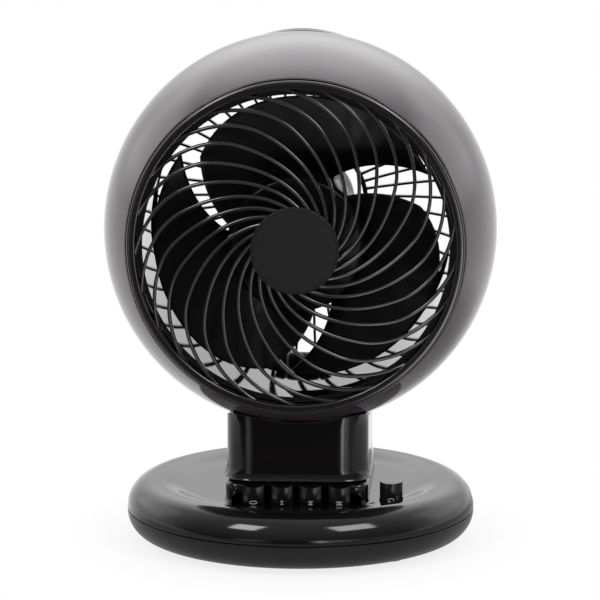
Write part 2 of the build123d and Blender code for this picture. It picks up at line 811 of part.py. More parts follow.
def fan_blade():
    along_steps, out_steps = 12, 6
    grid = [[Vector(*blade_point(a / along_steps, o / out_steps)) for o in range(out_steps + 1)]
            for a in range(along_steps + 1)]
    surface = Face.make_surface_from_array_of_points(grid)
    blade = thicken(surface, amount=blade_thickness / 2, both=True)
    front = blade_plane - blade_hub_depth / 2 - 2
    back = front + blade_hub_depth
    hub = axial_disc(blade_hub_radius, front, back)
    rim = hub.edges().filter_by(GeomType.CIRCLE).group_by(Axis.Y)[0]
    hub = fillet(rim, 4)
    hub -= axial_disc(blade_hub_radius - blade_hub_wall, front + blade_hub_wall + 1, back + 1)
    hub += axial_disc(shaft_radius + boss_wall, front, back + 3)
    for index in range(6):
        web = block(-0.9, 0.9, front + blade_hub_wall, back - 2, shaft_radius + 2, blade_hub_radius - 1)
        hub += Rot(0, 60 * index, 0) * web
    wheel = hub
    for index in range(blade_count):
        wheel += Rot(0, 360 / blade_count * index, 0) * blade
    return wheel - axial_disc(shaft_radius, front - 1, back + 5)


def hub_front():
    return blade_plane - blade_hub_depth / 2 - 2


def blade_nut():
    front = hub_front() - nut_height
    nut = axial_disc(nut_radius, front, hub_front())
    rim = nut.edges().filter_by(GeomType.CIRCLE).group_by(Axis.Y)[0]
    nut = fillet(rim, 1.5)
    for index in range(6):
        nut -= around(nut_radius + 1.2, 60 * index) * axial_disc(2.4, front - 1, hub_front() + 1)
    return nut - axial_disc(shaft_radius, shaft_front, hub_front() + 1)


def motor_shaft():
    return axial_disc(shaft_radius, shaft_front, motor_back - motor_can_wall)


def rotor_core():
    back = stator_front + stator_length
    core = axial_tube(stator_bore - air_gap, shaft_radius, stator_front, back)
    return core


# ---------------------------------------------------------------- neck
def globe_sweep():
    """Room that the globe takes while it leans back about the tilt hinge."""
    room = None
    steps = 3
    for step in range(steps + 1):
        turn = -math.radians(tilt_back * step / steps)
        dy, dz = -tilt_axis_depth, -tilt_z
        y = tilt_axis_depth + dy * math.cos(turn) - dz * math.sin(turn)
        z = tilt_axis_height + dy * math.sin(turn) + dz * math.cos(turn)
        ball = Pos(0, y, z) * Sphere(globe_radius + sweep_gap)
        room = ball if room is None else room + ball
    return room


def neck_solid():
    """Outside of the neck: a rounded box on a foot that flares out to the swivel."""
    top = globe_bottom + neck_overlap
    foot_top = swivel_plane + foot_height
    column = plate_corner(neck_width, neck_depth, neck_corner, swivel_plane, top)
    foot = plate_corner(neck_width + 2 * foot_spread, neck_depth + 2 * foot_spread,
                        neck_corner + foot_spread, swivel_plane, foot_top)
    neck = column + foot
    ledge = [e for e in neck.edges() if abs(e.center().Z - foot_top) < 0.01
             and abs(e.bounding_box().size.Z) < 0.01]
    neck = fillet([e for e in ledge if inside_foot(e)], foot_fillet)
    rim = [e for e in neck.edges() if abs(e.center().Z - foot_top) < 0.01
           and abs(e.bounding_box().size.Z) < 0.01 and on_foot_rim(e)]
    return fillet(rim, foot_edge_round)


def inside_foot(edge):
    """True for the edges where the column rises from the foot."""
    box = edge.bounding_box()
    return max(abs(box.min.X), abs(box.max.X)) < neck_half_width + 0.1 and (
        max(abs(box.min.Y), abs(box.max.Y)) < neck_half_depth + 0.1)


def on_foot_rim(edge):
    """True for the edges round the outside of the foot."""
    box = edge.bounding_box()
    return max(abs(box.min.X), abs(box.max.X)) > neck_half_width + foot_spread - 0.1 or (
        max(abs(box.min.Y), abs(box.max.Y)) > neck_half_depth + foot_spread - 0.1)


def neck_hollow():
    top = globe_height
    return plate_corner(neck_width - 2 * neck_wall, neck_depth - 2 * neck_wall,
                        neck_corner - neck_wall, swivel_plane - 1, top)


def neck_screw_places():
    return [Pos(x, y, 0) for x in (-neck_screw_x, neck_screw_x) for y in (-neck_screw_y, neck_screw_y)]


def neck_halves():
    shell = neck_solid() - neck_hollow()
    bosses = disc(neck_boss_radius, swivel_plane + plate_wall, neck_boss_top)
    for place in neck_screw_places():
        shell += place * bosses
    shell = shell & neck_solid()
    shell -= globe_sweep()
    hole = disc(screw_hole, swivel_plane, neck_boss_top - 3)
    for place in neck_screw_places():
        shell -= place * hole
    front = shell & block(-base_radius, base_radius, -base_radius, 0, 0, globe_height)
    rear = shell & block(-base_radius, base_radius, 0, base_radius, 0, globe_height)
    return front, rear


def swivel_plate():
    low, high = swivel_plane, swivel_plane + plate_wall
    plate = plate_corner(neck_width - 2 * neck_wall - 0.4, neck_depth - 2 * neck_wall - 0.4,
                         neck_corner - neck_wall, low, high)
    plate += disc(hub_radius, arm_top, high)
    plate -= disc(hub_bore, arm_top - 1, high + 1)
    for place in neck_screw_places():
        plate -= place * disc(screw_hole, low - 1, high + 1)
        plate -= place * disc(screw_head + seat_gap, low - 1, low + neck_screw_sink)
    for place in arm_screw_places():
        plate -= place * disc(screw_hole, arm_top - 1, arm_top + arm_screw_bite)
    return plate


def neck_screws():
    one = Pos(0, 0, swivel_plane + neck_screw_sink) * (
        Rot(180, 0, 0) * screw(neck_screw_length, screw_head, neck_screw_head))
    return [place * one for place in neck_screw_places()]


def tilt_post():
    """Bracket inside the neck: a ribbed foot and the tongue that reaches up into the globe."""
    low = swivel_plane + plate_wall
    foot = block(-post_foot_width / 2, post_foot_width / 2, post_foot_front, post_foot_back,
                 low, low + post_foot_wall)
    tongue = side_plane * (Pos(tilt_axis_depth, tilt_axis_height) * Circle(post_lobe_radius)
                           + make_face(Polyline(
                               (tilt_axis_depth - post_lobe_radius, tilt_axis_height),
                               (tilt_axis_depth - post_lobe_radius, low),
                               (tilt_axis_depth + post_lobe_radius, low),
                               (tilt_axis_depth + post_lobe_radius, tilt_axis_height),
                               (tilt_axis_depth - post_lobe_radius, tilt_axis_height))))
    post = foot + extrude(tongue, post_half_width, both=True)
    brace_top = globe_bottom - post_brace_drop
    brace = front_plane * make_face(Polyline(
        (-post_foot_width / 2, low), (post_foot_width / 2, low), (post_half_width, brace_top),
        (-post_half_width, brace_top), (-post_foot_width / 2, low)))
    for y in (tilt_axis_depth - post_lobe_radius, tilt_axis_depth + post_lobe_radius - post_rib):
        post += Pos(0, y + post_rib, 0) * extrude(brace, post_rib)
    post -= disc(hub_bore, low - 1, low + post_foot_wall + 20) & block(-20, 20, -20, 11, 0, 90)
    bore = Pos(0, tilt_axis_depth, tilt_axis_height) * (
        Rot(0, 90, 0) * disc(tilt_pin_radius + running_fit, -20, 20))
    post -= bore
    for place in post_screw_places():
        post -= place * disc(screw_hole, low - 1, low + post_foot_wall + 1)
    return post


def post_screw_places():
    half = post_foot_width / 2 - screw_head - 0.6
    return [Pos(x, y, 0) for x in (-half, half) for y in (tilt_axis_depth - post_screw_spread, tilt_axis_depth)]


def tilt_post_screws():
    low = swivel_plane + plate_wall + post_foot_wall
    return [place * (Pos(0, 0, low) * screw(post_foot_wall, screw_head, post_screw_head))
            for place in post_screw_places()]


def drive_arm():
    """Retaining ring under the swivel, with the slotted arm that the crank pin moves."""
    near = math.hypot(crank_axis, crank_throw)
    far = crank_axis + crank_throw
    ring = disc(retainer_radius, arm_bottom, arm_top)
    tip = far + crank_pin_radius + crank_slot_gap
    ring += block(-arm_half_width, arm_half_width, 0, tip, arm_bottom, arm_top)
    ring += Pos(0, tip - 1.0, 0) * disc(arm_half_width - 1.0, arm_bottom, arm_top)
    slot_half = crank_pin_radius + crank_slot_gap
    slot = block(-slot_half, slot_half, near, far, arm_bottom - 1, arm_top + 1)
    for y in (near, far):
        slot += Pos(0, y, 0) * disc(slot_half, arm_bottom - 1, arm_top + 1)
    ring -= slot
    for place in arm_screw_places():
        ring -= place * disc(screw_hole, arm_bottom - 1, arm_top + 1)
    return ring - disc(hub_bore, arm_bottom - 1, arm_top + 1)


def arm_screw_places():
    return [Rot(0, 0, angle) * Pos(0, arm_screw_circle, 0) for angle in arm_screw_angles]


def drive_arm_screws():
    one = Pos(0, 0, arm_bottom) * (Rot(180, 0, 0) * screw(arm_wall + arm_screw_bite))
    return [place * one for place in arm_screw_places()]


# ---------------------------------------------------------------- swing drive in the base
def crank_wheel():
    wheel_bottom = crank_wheel_top - crank_wheel_wall
    wheel = disc(crank_wheel_radius, wheel_bottom, crank_wheel_top)
    wheel += disc(drive_shaft_radius, drive_motor_top - 6, wheel_bottom)
    wheel += Pos(0, crank_throw, 0) * disc(crank_pin_radius, crank_wheel_top, arm_top - 0.3)
    return Pos(0, crank_axis, 0) * wheel


def oscillation_motor():
    can = disc(drive_motor_radius, drive_motor_bottom, drive_motor_top)
    rim = can.edges().group_by(Axis.Z)[-1]
    can = fillet(rim, 1.2)
    ears = block(-drive_ear_length, drive_ear_length, -drive_ear_half_width, drive_ear_half_width,
                 drive_motor_bottom, drive_motor_bottom + drive_ear_wall)
    can += ears
    for side in (-1, 1):
        can -= Pos(side * drive_screw_x, 0, 0) * disc(screw_hole, 0, drive_motor_top)
    can -= disc(drive_shaft_radius + running_fit, drive_motor_top - 6.4, drive_motor_top + 1)
    return Pos(0, crank_axis, 0) * can


def oscillation_motor_screws():
    seat = drive_motor_bottom + drive_ear_wall
    return [Pos(side * drive_screw_x, crank_axis, seat) * screw(4) for side in (-1, 1)]


def swivel_bush():
    bush = tube(bush_outer, hub_radius + running_fit, pod_height - pod_top_wall, pod_height)
    return bush + tube(bush_flange, hub_radius + running_fit, pod_height, swivel_plane)


# ---------------------------------------------------------------- base
def cover_profile(wall):
    """Half section of the base cover from the seam to the middle, wall inside the outer face."""
    edge = base_radius - wall
    middle = crest_height - rim_round
    turn = math.pi / 4
    rim = rim_round - wall
    arc_mid = (crest_radius + rim * math.cos(turn), middle + rim * math.sin(turn))
    crest = (crest_radius, crest_height - wall)
    dish = (dish_radius, dish_height - wall)
    third = (crest_radius - dish_radius) / 2.6
    return [Line((edge, seam_height), (edge, middle)),
            ThreePointArc((edge, middle), arc_mid, crest),
            Bezier(crest, (crest[0] - third, crest[1]), (dish[0] + third, dish[1]), dish),
            Line(dish, (0, dish[1]))]


def spun_upright(*curves):
    """Solid of revolution about Z, from an outline of radius and height."""
    face = Plane.XZ * make_face(Curve() + list(curves))
    return revolve(face, Axis.Z, 360)


def cover_body(wall):
    low = dish_height - wall
    return spun_upright(*cover_profile(wall), Line((0, low), (0, seam_height)),
                        Line((0, seam_height), (base_radius - wall, seam_height)))


def key_well():
    """Room for the four keys: open above the keys, and closed over by the pod at both ends."""
    depth = well_back - well_front
    ends = Pos(0, (well_front + well_back) / 2, seam_height) * SlotOverall(2 * well_half_length, depth)
    well = extrude(ends, well_end_top - seam_height)
    well = fillet(well.edges().group_by(Axis.Z)[-1], well_end_round)
    row = key_x(key_count - 1) + key_width / 2 + slide_gap
    well += block(-row, row, well_front, well_back, seam_height, pod_height + 1)
    front = disc(well_front_radius, seam_height, pod_height + 1)
    return well + (front & block(-row, row, -well_front_radius, well_front + 1, seam_height, pod_height + 1))


def swing_key_plan(grow):
    """D-shaped plan of the swing key, round towards the front."""
    half = swing_key_width / 2 + grow
    back = swing_key_depth / 2 + grow
    shoulder = -swing_key_depth / 2 + 2.6
    front = -swing_key_depth / 2 - grow
    outline = Curve() + [Polyline((-half, shoulder), (-half, back), (half, back), (half, shoulder)),
                         ThreePointArc((half, shoulder), (0, front), (-half, shoulder))]
    return Pos(swing_key_x, swing_key_y) * make_face(outline)


def base_cover():
    pod = plate_corner(pod_width, pod_depth, pod_corner, dish_height - 2, pod_height)
    cover = cover_body(0) + pod
    foot = [e for e in cover.edges() if abs(e.center().Z - dish_height) < 0.01
            and abs(e.bounding_box().size.Z) < 0.01
            and e.bounding_box().size.X < pod_width + 1 and e.bounding_box().size.Y < pod_depth + 1]
    cover = fillet(foot, pod_foot_round)
    top = [e for e in cover.edges() if abs(e.center().Z - pod_height) < 0.01]
    cover = fillet(top, pod_edge_round)
    cover -= cover_body(base_wall)
    cover -= plate_corner(pod_width - 2 * base_wall, pod_depth - 2 * base_wall,
                          pod_corner - base_wall, seam_height - 1, pod_height - pod_top_wall)
    for angle in base_screw_angles:
        boss = Rot(0, 0, angle) * (Pos(0, base_screw_circle, 0) * disc(boss_radius, base_boss_bottom(),
                                                                       dish_height - 1))
        cover += boss
    for angle in base_screw_angles:
        cover -= Rot(0, 0, angle) * (Pos(0, base_screw_circle, 0) * disc(screw_hole, 0, base_boss_top))
    cover -= key_well()
    cover -= disc(bush_outer, pod_height - pod_top_wall - 1, pod_height + 1)
    cover -= extrude(Pos(0, 0, seam_height) * swing_key_plan(slide_gap), 30)
    return cover


def base_boss_bottom():
    return tray_floor + 4.0


def base_tray():
    edge = base_radius
    rise = seam_height - seam_groove
    centre = tray_bottom + tray_round
    turn = math.pi / 4
    outer_mid = (edge - tray_round + tray_round * math.cos(turn), centre - tray_round * math.sin(turn))
    small = tray_round - base_wall
    inner_mid = (edge - tray_round + small * math.cos(turn), centre - small * math.sin(turn))
    spigot_out = edge - base_wall - seat_gap
    spigot_in = spigot_out - base_wall
    tray = spun_upright(
        Line((0, tray_bottom), (edge - tray_round, tray_bottom)),
        ThreePointArc((edge - tray_round, tray_bottom), outer_mid, (edge, centre)),
        Polyline((edge, centre), (edge, rise), (spigot_out, rise), (spigot_out, rise + tray_step),
                 (spigot_in, rise + tray_step), (edge - base_wall - 2.6, centre)),
        Line((edge - base_wall - 2.6, centre), (edge - base_wall, centre)),
        ThreePointArc((edge - base_wall, centre), inner_mid, (edge - tray_round, tray_floor)),
        Polyline((edge - tray_round, tray_floor), (0, tray_floor), (0, tray_bottom)))
    for angle in base_screw_angles:
        place = Rot(0, 0, angle) * Pos(0, base_screw_circle, 0)
        tray += place * disc(boss_radius + 1.6, tray_bottom, base_boss_bottom())
    for angle in base_screw_angles:
        place = Rot(0, 0, angle) * Pos(0, base_screw_circle, 0)
        tray -= place * disc(screw_hole, 0, 20)
        tray -= place * disc(screw_head + seat_gap, 0, base_boss_bottom() - 2.0)
    pad_half = drive_ear_length + 1
    tray += Pos(0, crank_axis, 0) * block(-pad_half, pad_half, -drive_ear_half_width - 2,
                                          drive_ear_half_width + 2, tray_floor, drive_motor_bottom)
    for side in (-1, 1):
        tray -= Pos(side * drive_screw_x, crank_axis, 0) * disc(screw_hole, tray_floor - 0.6, 20)
    tray -= Pos(0, 0, inlet_height) * axial_disc(inlet_radius, base_radius - 20, base_radius + 5)
    tray -= Pos(0, 0, inlet_height) * axial_disc(inlet_flange, inlet_seat(), base_radius + 5)
    return tray


def base_screws():
    one = Pos(0, base_screw_circle, base_boss_bottom() - 2.0) * (Rot(180, 0, 0) * screw(12))
    return [Rot(0, 0, angle) * one for angle in base_screw_angles]


def rubber_feet():
    foot = disc(foot_pad_radius, 0, tray_bottom)
    low = foot.edges().group_by(Axis.Z)[0]
    foot = fillet(low, 0.6)
    return [Rot(0, 0, angle) * (Pos(0, foot_circle, 0) * foot) for angle in foot_angles]


def cord_inlet():
    """Bushing in the back of the tray where the supply lead would go in."""
    seat = inlet_seat()
    bushing = axial_disc(inlet_radius, seat - inlet_length, seat)
    bushing += axial_disc(inlet_flange, seat, seat + inlet_flange_wall)
    bushing -= axial_disc(inlet_bore, seat - inlet_length - 1, base_radius + 5)
    return Pos(0, 0, inlet_height) * bushing


def inlet_seat():
    """Depth of the face that the inlet's flange is let into, so that the flange ends at the rim."""
    return base_radius - inlet_flange_wall - running_fit


# ---------------------------------------------------------------- keys and switches
def key_x(index):
    return (index - (key_count - 1) / 2) * key_pitch


def finger_hollow(width, dip, front, back, top):
    """Trough across the top of a key, from front to back, as wide as the flat of its top."""
    half = width / 2 - key_edge_round
    radius = (half**2 + dip**2) / (2 * dip)
    return Pos(0, 0, top + radius - dip) * axial_disc(radius, front - 1, back + 1)


def speed_key(index):
    """Piano-style key: a cap with a rounded front on a stem that works the switch."""
    half = key_width / 2
    back = key_front + key_depth
    shoulder = key_front + key_bulge
    outline = Curve() + [Polyline((-half, shoulder), (-half, back), (half, back), (half, shoulder)),
                         ThreePointArc((half, shoulder), (0, key_front), (-half, shoulder))]
    cap = extrude(Pos(0, 0, key_bottom) * make_face(outline), key_top - key_bottom)
    cap = fillet(cap.edges().group_by(Axis.Z)[-1], key_edge_round)
    cap -= finger_hollow(key_width, key_dip, key_front, back, key_top)
    middle = (key_front + back) / 2
    cap += block(-key_stem_width / 2, key_stem_width / 2, middle - key_stem_depth / 2,
                 middle + key_stem_depth / 2, key_stem_bottom, key_bottom)
    return Pos(key_x(index), 0, 0) * cap


def swing_key():
    cap = extrude(Pos(0, 0, key_bottom) * swing_key_plan(0), swing_key_top - key_bottom)
    cap = fillet(cap.edges().group_by(Axis.Z)[-1], key_edge_round)
    half = swing_key_depth / 2
    cap -= Pos(swing_key_x, swing_key_y, 0) * finger_hollow(
        swing_key_width, swing_key_dip, -half, half, swing_key_top)
    cap += Pos(swing_key_x, swing_key_y, 0) * block(
        -key_stem_width / 2, key_stem_width / 2, -key_stem_depth / 2, key_stem_depth / 2,
        key_stem_bottom, key_bottom)
    return cap


def key_guide():
    """Plate under the cover with an opening for each key."""
    high = dish_height - base_wall
    low = high - guide_wall
    plate = block(-well_half_length - guide_margin, well_half_length + guide_margin,
                  well_front - guide_margin, well_back + guide_margin, low, high)
    for index in range(key_count):
        x = key_x(index)
        half = key_width / 2 + slide_gap
        plate -= block(x - half, x + half, key_front - slide_gap, key_front + key_depth + slide_gap,
                       low - 1, high + 1)
    return plate


def stem_slot(x, y):
    half_width = key_stem_width / 2 + slide_gap
    half_depth = key_stem_depth / 2 + slide_gap
    return block(x - half_width, x + half_width, y - half_depth, y + half_depth,
                 switch_slot_bottom, switch_top + 1)


def terminal():
    """Flat tab on the back of a switch."""
    return block(-terminal_half_width, terminal_half_width, 0, terminal_length,
                 terminal_rise, terminal_rise + terminal_wall)


def switch_block():
    """Latching switch with one plunger slot for each key and a row of terminals behind."""
    middle = key_front + key_depth / 2
    half = switch_half_depth
    body = block(-switch_half_length, switch_half_length, middle - half, middle + half,
                 tray_floor, switch_top)
    for index in range(key_count):
        body -= stem_slot(key_x(index), middle)
        body += Pos(key_x(index), middle + half, tray_floor) * terminal()
    return body


def oscillation_switch():
    body = Pos(swing_key_x, swing_key_y, 0) * block(-7, 7, -6, 6, tray_floor, switch_top)
    body -= stem_slot(swing_key_x, swing_key_y)
    body += Pos(swing_key_x, swing_key_y + 6, tray_floor) * terminal()
    return body


def swing_key_guide():
    high = dish_height - base_wall
    low = high - 2 * guide_wall
    outer = swing_key_plan(slide_gap + swing_guide_wall)
    sleeve = extrude(Pos(0, 0, low) * outer, high - low)
    return sleeve - extrude(Pos(0, 0, low - 1) * swing_key_plan(slide_gap), high - low + 2)


# ---------------------------------------------------------------- write the pieces
def head_pieces():
    """Pieces drawn about the globe's centre."""
    return {
        "front_shell": front_shell(),
        "rear_shell": rear_shell(),
        "shell_screws": shell_screws(),
        "front_grille": front_grille(),
        "grille_badge": grille_badge(),
        "inner_duct": inner_duct(),
        "duct_screws": duct_screws(),
        "rear_grille": rear_grille(),
        "motor_carrier": motor_carrier(),
        "carrier_screws": carrier_screws(),
        "motor_front_bell": motor_bell(motor_front, stator_front),
        "motor_rear_bell": motor_bell(motor_back, stator_front + stator_length),
        "motor_stator": motor_stator(),
        "motor_windings": motor_windings(),
        "motor_bearings": motor_bearings(),
        "tilt_fork": tilt_fork(),
        "tilt_fork_screws": tilt_fork_screws(),
        "tilt_pin": tilt_pin(),
        "tilt_nut": tilt_nut(),
        "friction_washers": friction_washers(),
        "fan_blade": fan_blade(),
        "blade_nut": blade_nut(),
        "motor_shaft": motor_shaft(),
        "rotor_core": rotor_core(),
    }


def standing_pieces():
    """Pieces drawn from the table up."""
    front, rear = neck_halves()
    return {
        "neck_front": front,
        "neck_rear": rear,
        "neck_screws": neck_screws(),
        "swivel_plate": swivel_plate(),
        "tilt_post": tilt_post(),
        "tilt_post_screws": tilt_post_screws(),
        "drive_arm": drive_arm(),
        "drive_arm_screws": drive_arm_screws(),
        "crank_wheel": crank_wheel(),
        "oscillation_motor": oscillation_motor(),
        "oscillation_motor_screws": oscillation_motor_screws(),
        "swivel_bush": swivel_bush(),
        "base_cover": base_cover(),
        "base_tray": base_tray(),
        "base_screws": base_screws(),
        "rubber_feet": rubber_feet(),
        "cord_inlet": cord_inlet(),
        "off_key": speed_key(0),
        "speed_1_key": speed_key(1),
        "speed_2_key": speed_key(2),
        "speed_3_key": speed_key(3),
        "oscillation_key": swing_key(),
        "key_guide": key_guide(),
        "oscillation_key_guide": swing_key_guide(),
        "switch_block": switch_block(),
        "oscillation_switch": oscillation_switch(),
    }


def write_piece(name, shape):
    """One file for each piece; a list is a group of separate solids."""
    if isinstance(shape, list):
        shape = Compound([solid for item in shape for solid in item.solids()])
    export_step(shape, os.path.join("parts", name + ".step"))


os.makedirs("parts", exist_ok=True)
for name, shape in head_pieces().items():
    moved = [head_place * item for item in shape] if isinstance(shape, list) else head_place * shape
    write_piece(name, moved)
for name, shape in standing_pieces().items():
    write_piece(name, shape)
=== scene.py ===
import json
import math

import bmesh
import bpy
from bpy.props import FloatProperty, FloatVectorProperty, IntProperty, PointerProperty
from bpy.types import Operator, Panel, PropertyGroup
from mathutils import Matrix, Vector


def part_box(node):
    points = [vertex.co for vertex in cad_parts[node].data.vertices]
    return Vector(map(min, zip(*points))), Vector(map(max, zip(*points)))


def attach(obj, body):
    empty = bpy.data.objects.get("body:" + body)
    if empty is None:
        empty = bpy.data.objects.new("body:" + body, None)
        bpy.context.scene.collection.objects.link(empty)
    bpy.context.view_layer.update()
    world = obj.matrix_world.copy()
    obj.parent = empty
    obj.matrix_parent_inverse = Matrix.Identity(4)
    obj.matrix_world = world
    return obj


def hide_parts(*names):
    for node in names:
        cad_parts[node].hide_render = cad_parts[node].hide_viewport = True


bl_info = {
    "name": "Desk air circulator",
    "version": (1, 0, 0),
    "blender": (4, 5, 0),
    "location": "3D View > Sidebar > Circulator",
    "description": "Builds the visible pieces of a globe-shaped desk air circulator on its frame",
    "category": "Object",
}

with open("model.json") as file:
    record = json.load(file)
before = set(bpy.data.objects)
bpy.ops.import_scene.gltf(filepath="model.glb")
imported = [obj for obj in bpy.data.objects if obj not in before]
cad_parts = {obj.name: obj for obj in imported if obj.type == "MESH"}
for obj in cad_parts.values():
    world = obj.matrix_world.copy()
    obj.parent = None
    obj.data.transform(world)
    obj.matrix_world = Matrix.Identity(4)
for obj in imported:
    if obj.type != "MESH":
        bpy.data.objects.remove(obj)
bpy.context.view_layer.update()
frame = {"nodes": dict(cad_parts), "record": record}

MM = 0.001
LAY_BACK = Matrix.Rotation(math.radians(-90), 4, "X")     # a shape's own Z turns to the fan's back
SHARP = 35.0                        # edges that turn by more degrees than this stay sharp
SHELL_SHARP, RIB_SHARP = 32.0, 50.0     # the same on the globe's shells and on ribs
ROUNDED = 50.0                      # edges that turn by more than this get a rounding
LARGE_ROUND, SMALL_ROUND = 256, 128     # steps of a full turn on large and on small pieces
WELD = 1e-7                         # points that are nearer to one another become one
ARCS_MEET = 0.0004                  # the globe's front and rear arcs are joined over this depth
LIP, REAR_LIP = 0.0022, 0.0023      # thickness of the lips round the globe's openings
EDGE, FINE_EDGE = 0.0004, 0.0003    # rounding of edges that are just broken
POCKET_BELOW = 0.0003               # how far the pocket's walls stay below the globe's skin
RIBS_SHORT = 0.002                  # how far inside the rear grille's rim its ribs end
BLADE_ROOT = 0.0015                 # how far the blades reach into their hub
FLARE_POWER = 12.0                  # how late a rib widens towards its ends
NEAR_HALF = 0.42                    # share of a thickness that rounds its edge almost fully
RING_EASE = 0.0005                  # play of the grille's ring in the opening
SLOT_HALF = 0.0096                  # half the width of the slot for the neck's post
SLOT_FRONT, SLOT_BACK = 0.012, 0.042    # depths between which it is cut
SLOT_DOWN, SLOT_UP = 0.01, 0.025    # how far the slot's cut reaches past the globe and into it
SCREW_HEAD, SCREW_HEIGHT = 0.003, 0.002     # radius and height of the visible screw heads
SCREW_TURNS = 2.3                   # turn of a screw's cross for its place on the circle
SWING_SHOULDER = 0.0026             # how far the swing key's front is bowed
MARK_LIFT = 0.00012                 # how far the markings stand out
MARK_ROOT = 0.0001                  # how far they reach into the key


# ------------------------------------------------------------------ sizes that a user would change
def kind_of(maker, **fixed):
    """A kind of property, with what all of its kind have in common. register() names each one."""
    def make(description, default):
        return maker(description=description, default=default, **fixed)
    return make


length = kind_of(FloatProperty, min=0.0, precision=4, unit="LENGTH", subtype="DISTANCE")
depth = kind_of(FloatProperty, precision=4, unit="LENGTH", subtype="DISTANCE")
radians = kind_of(FloatProperty, unit="ROTATION", subtype="ANGLE")
tint = kind_of(FloatVectorProperty, size=3, min=0.0, max=1.0, subtype="COLOR")
share = kind_of(FloatProperty, min=0.0, max=1.0, subtype="FACTOR")
number = kind_of(IntProperty, min=1)
plain = kind_of(FloatProperty, min=0.0)


def turn(description, default):
    """An angle whose default is given in degrees."""
    return radians(description, math.radians(default))


class GlobeSizes(PropertyGroup):
    radius: length("Outer radius of the globe", 0.105)
    height: length("Height of the globe's centre above the table", 0.1693)
    bulge: length("Radius of the arc that draws the front half out", 0.1185)
    wall: length("Wall of the shells", 0.0024)
    split: length("How far behind the centre the two shells meet", 0.020)
    opening: length("Radius of the front opening", 0.0894)
    rear_opening: length("Radius of the rear opening", 0.0864)
    rear_lip: length("Width of the lip that the rear grille sits on", 0.0054)
    seam: length("Rounding of the two edges that meet at the split", 0.00035)
    rim_round: length("Rounding of the edge round the front opening", 0.00045)
    seat_depth: length("How far the grille ring drops into the opening", 0.0028)
    seat_lip: length("Width of the lip behind the grille ring", 0.0041)


class HandleSizes(PropertyGroup):
    half_width: length("Half the width of the grip", 0.026)
    front: length("Front edge of the grip behind the globe's centre", 0.0203)
    back: length("Back edge of the grip", 0.0355)
    rise: length("How far the grip stands proud of the globe", 0.002)
    crown: length("Radius of the grip's lens shape", 0.067)
    thickness: length("Thickness of the grip", 0.006)
    lean: turn("How far behind the top the middle of the grip lies", 15.5)
    pocket_front: length("Front wall of the finger pocket", 0.0235)
    pocket_back: length("Back wall of the finger pocket", 0.054)
    pocket_deep: length("Height of the pocket floor at its front wall", 0.078)
    pocket_shallow: length("Height of the pocket floor at its back wall", 0.0872)
    pocket_wall: length("Wall of the finger pocket", 0.0022)
    slope: length("Depth over which the grip rises from the globe's skin", 0.0036)
    edge: length("Rounding of the grip's edges", 0.0005)


class GrilleSizes(PropertyGroup):
    ribs: number("Number of spiral ribs", 25)
    width: length("Width of a rib seen from the front", 0.0019)
    depth: length("Depth of a rib", 0.0034)
    twist: turn("Turn of a rib while its radius grows by the factor e", 60)
    phase: turn("Angle of the first rib at the hub, clockwise from the top", 1.0)
    hook: turn("How much further a rib turns on its way to the ring", 17)
    hook_start: length("Radius at which the ribs begin to hook", 0.062)
    dome: length("Radius of the gentle dome the ribs lie on", 0.430)
    flare: share("How much wider a rib gets at both ends", 0.55)
    hub_forward: length("How far the hub stands in front of the opening", 0.0072)
    hub_radius: length("Radius of the hub plate", 0.0224)
    hub_plate: length("Thickness of the hub plate", 0.003)
    ring_radius: length("Outer radius of the ring", 0.0886)
    ring_band: length("Width of the ring", 0.0045)
    ring_depth: length("Depth of the ring", 0.0056)
    ring_round: length("Rounding of the ring's front edge", 0.0013)
    disc_radius: length("Radius of the disc on the hub", 0.0233)
    disc_thickness: length("Thickness of the disc on the hub", 0.0024)
    disc_scallop: length("Depth of the scallops in the disc's edge", 0.00045)


class RearGrilleSizes(PropertyGroup):
    ribs: number("Number of rear ribs", 48)
    width: length("Width of a rear rib", 0.0014)
    depth: length("Depth of a rear rib", 0.0032)
    rise: length("How far the dome stands behind the rear opening", 0.0323)
    rim: length("Outer radius of the rim", 0.086)
    rim_height: length("How far the rim stands behind the shell's lip", 0.0035)
    inner_ring: length("Outer radius of the ring round the middle plate", 0.0335)
    inner_wall: length("Wall of the ring round the middle plate", 0.0025)
    plate: length("Radius of the middle plate", 0.026)
    plate_wall: length("Thickness of the middle plate", 0.0034)
    spoke_width: length("Width of the four spokes", 0.007)
    screw_circle: length("Radius of the circle of the carrier screws", 0.020)


class DuctSizes(PropertyGroup):
    inner: length("Inner radius of the duct", 0.0806)
    wall: length("Wall of the duct", 0.0018)
    back: length("Depth of the duct's back edge", 0.008)
    flare: length("Reach of the flare at the duct's back edge", 0.003)


class BladeSizes(PropertyGroup):
    count: number("Number of blades", 3)
    tip: length("Radius of the blade tips", 0.0768)
    hub: length("Radius of the hub", 0.0365)
    hub_depth: length("Depth of the hub", 0.028)
    span: turn("Angle that one blade covers as seen from the front", 106)
    sweep: plain("Degrees clockwise per metre outwards", 850.0)
    middle: turn("Angle of the first blade's middle, clockwise from the top", 115.8)
    sweep_radius: length("Radius at which the middle angle is measured", 0.057)
    behind: length("Middle of the blades behind the front grille's hub", 0.032)
    depth: length("Depth from a blade's front edge to its back edge", 0.030)
    camber: length("Height of a blade's bow", 0.0025)
    corner: length("How far the tip line drops at the front corner", 0.0085)
    back_corner: length("How far the tip line drops at the back corner", 0.0008)
    thickness: length("Thickness of a blade", 0.0018)


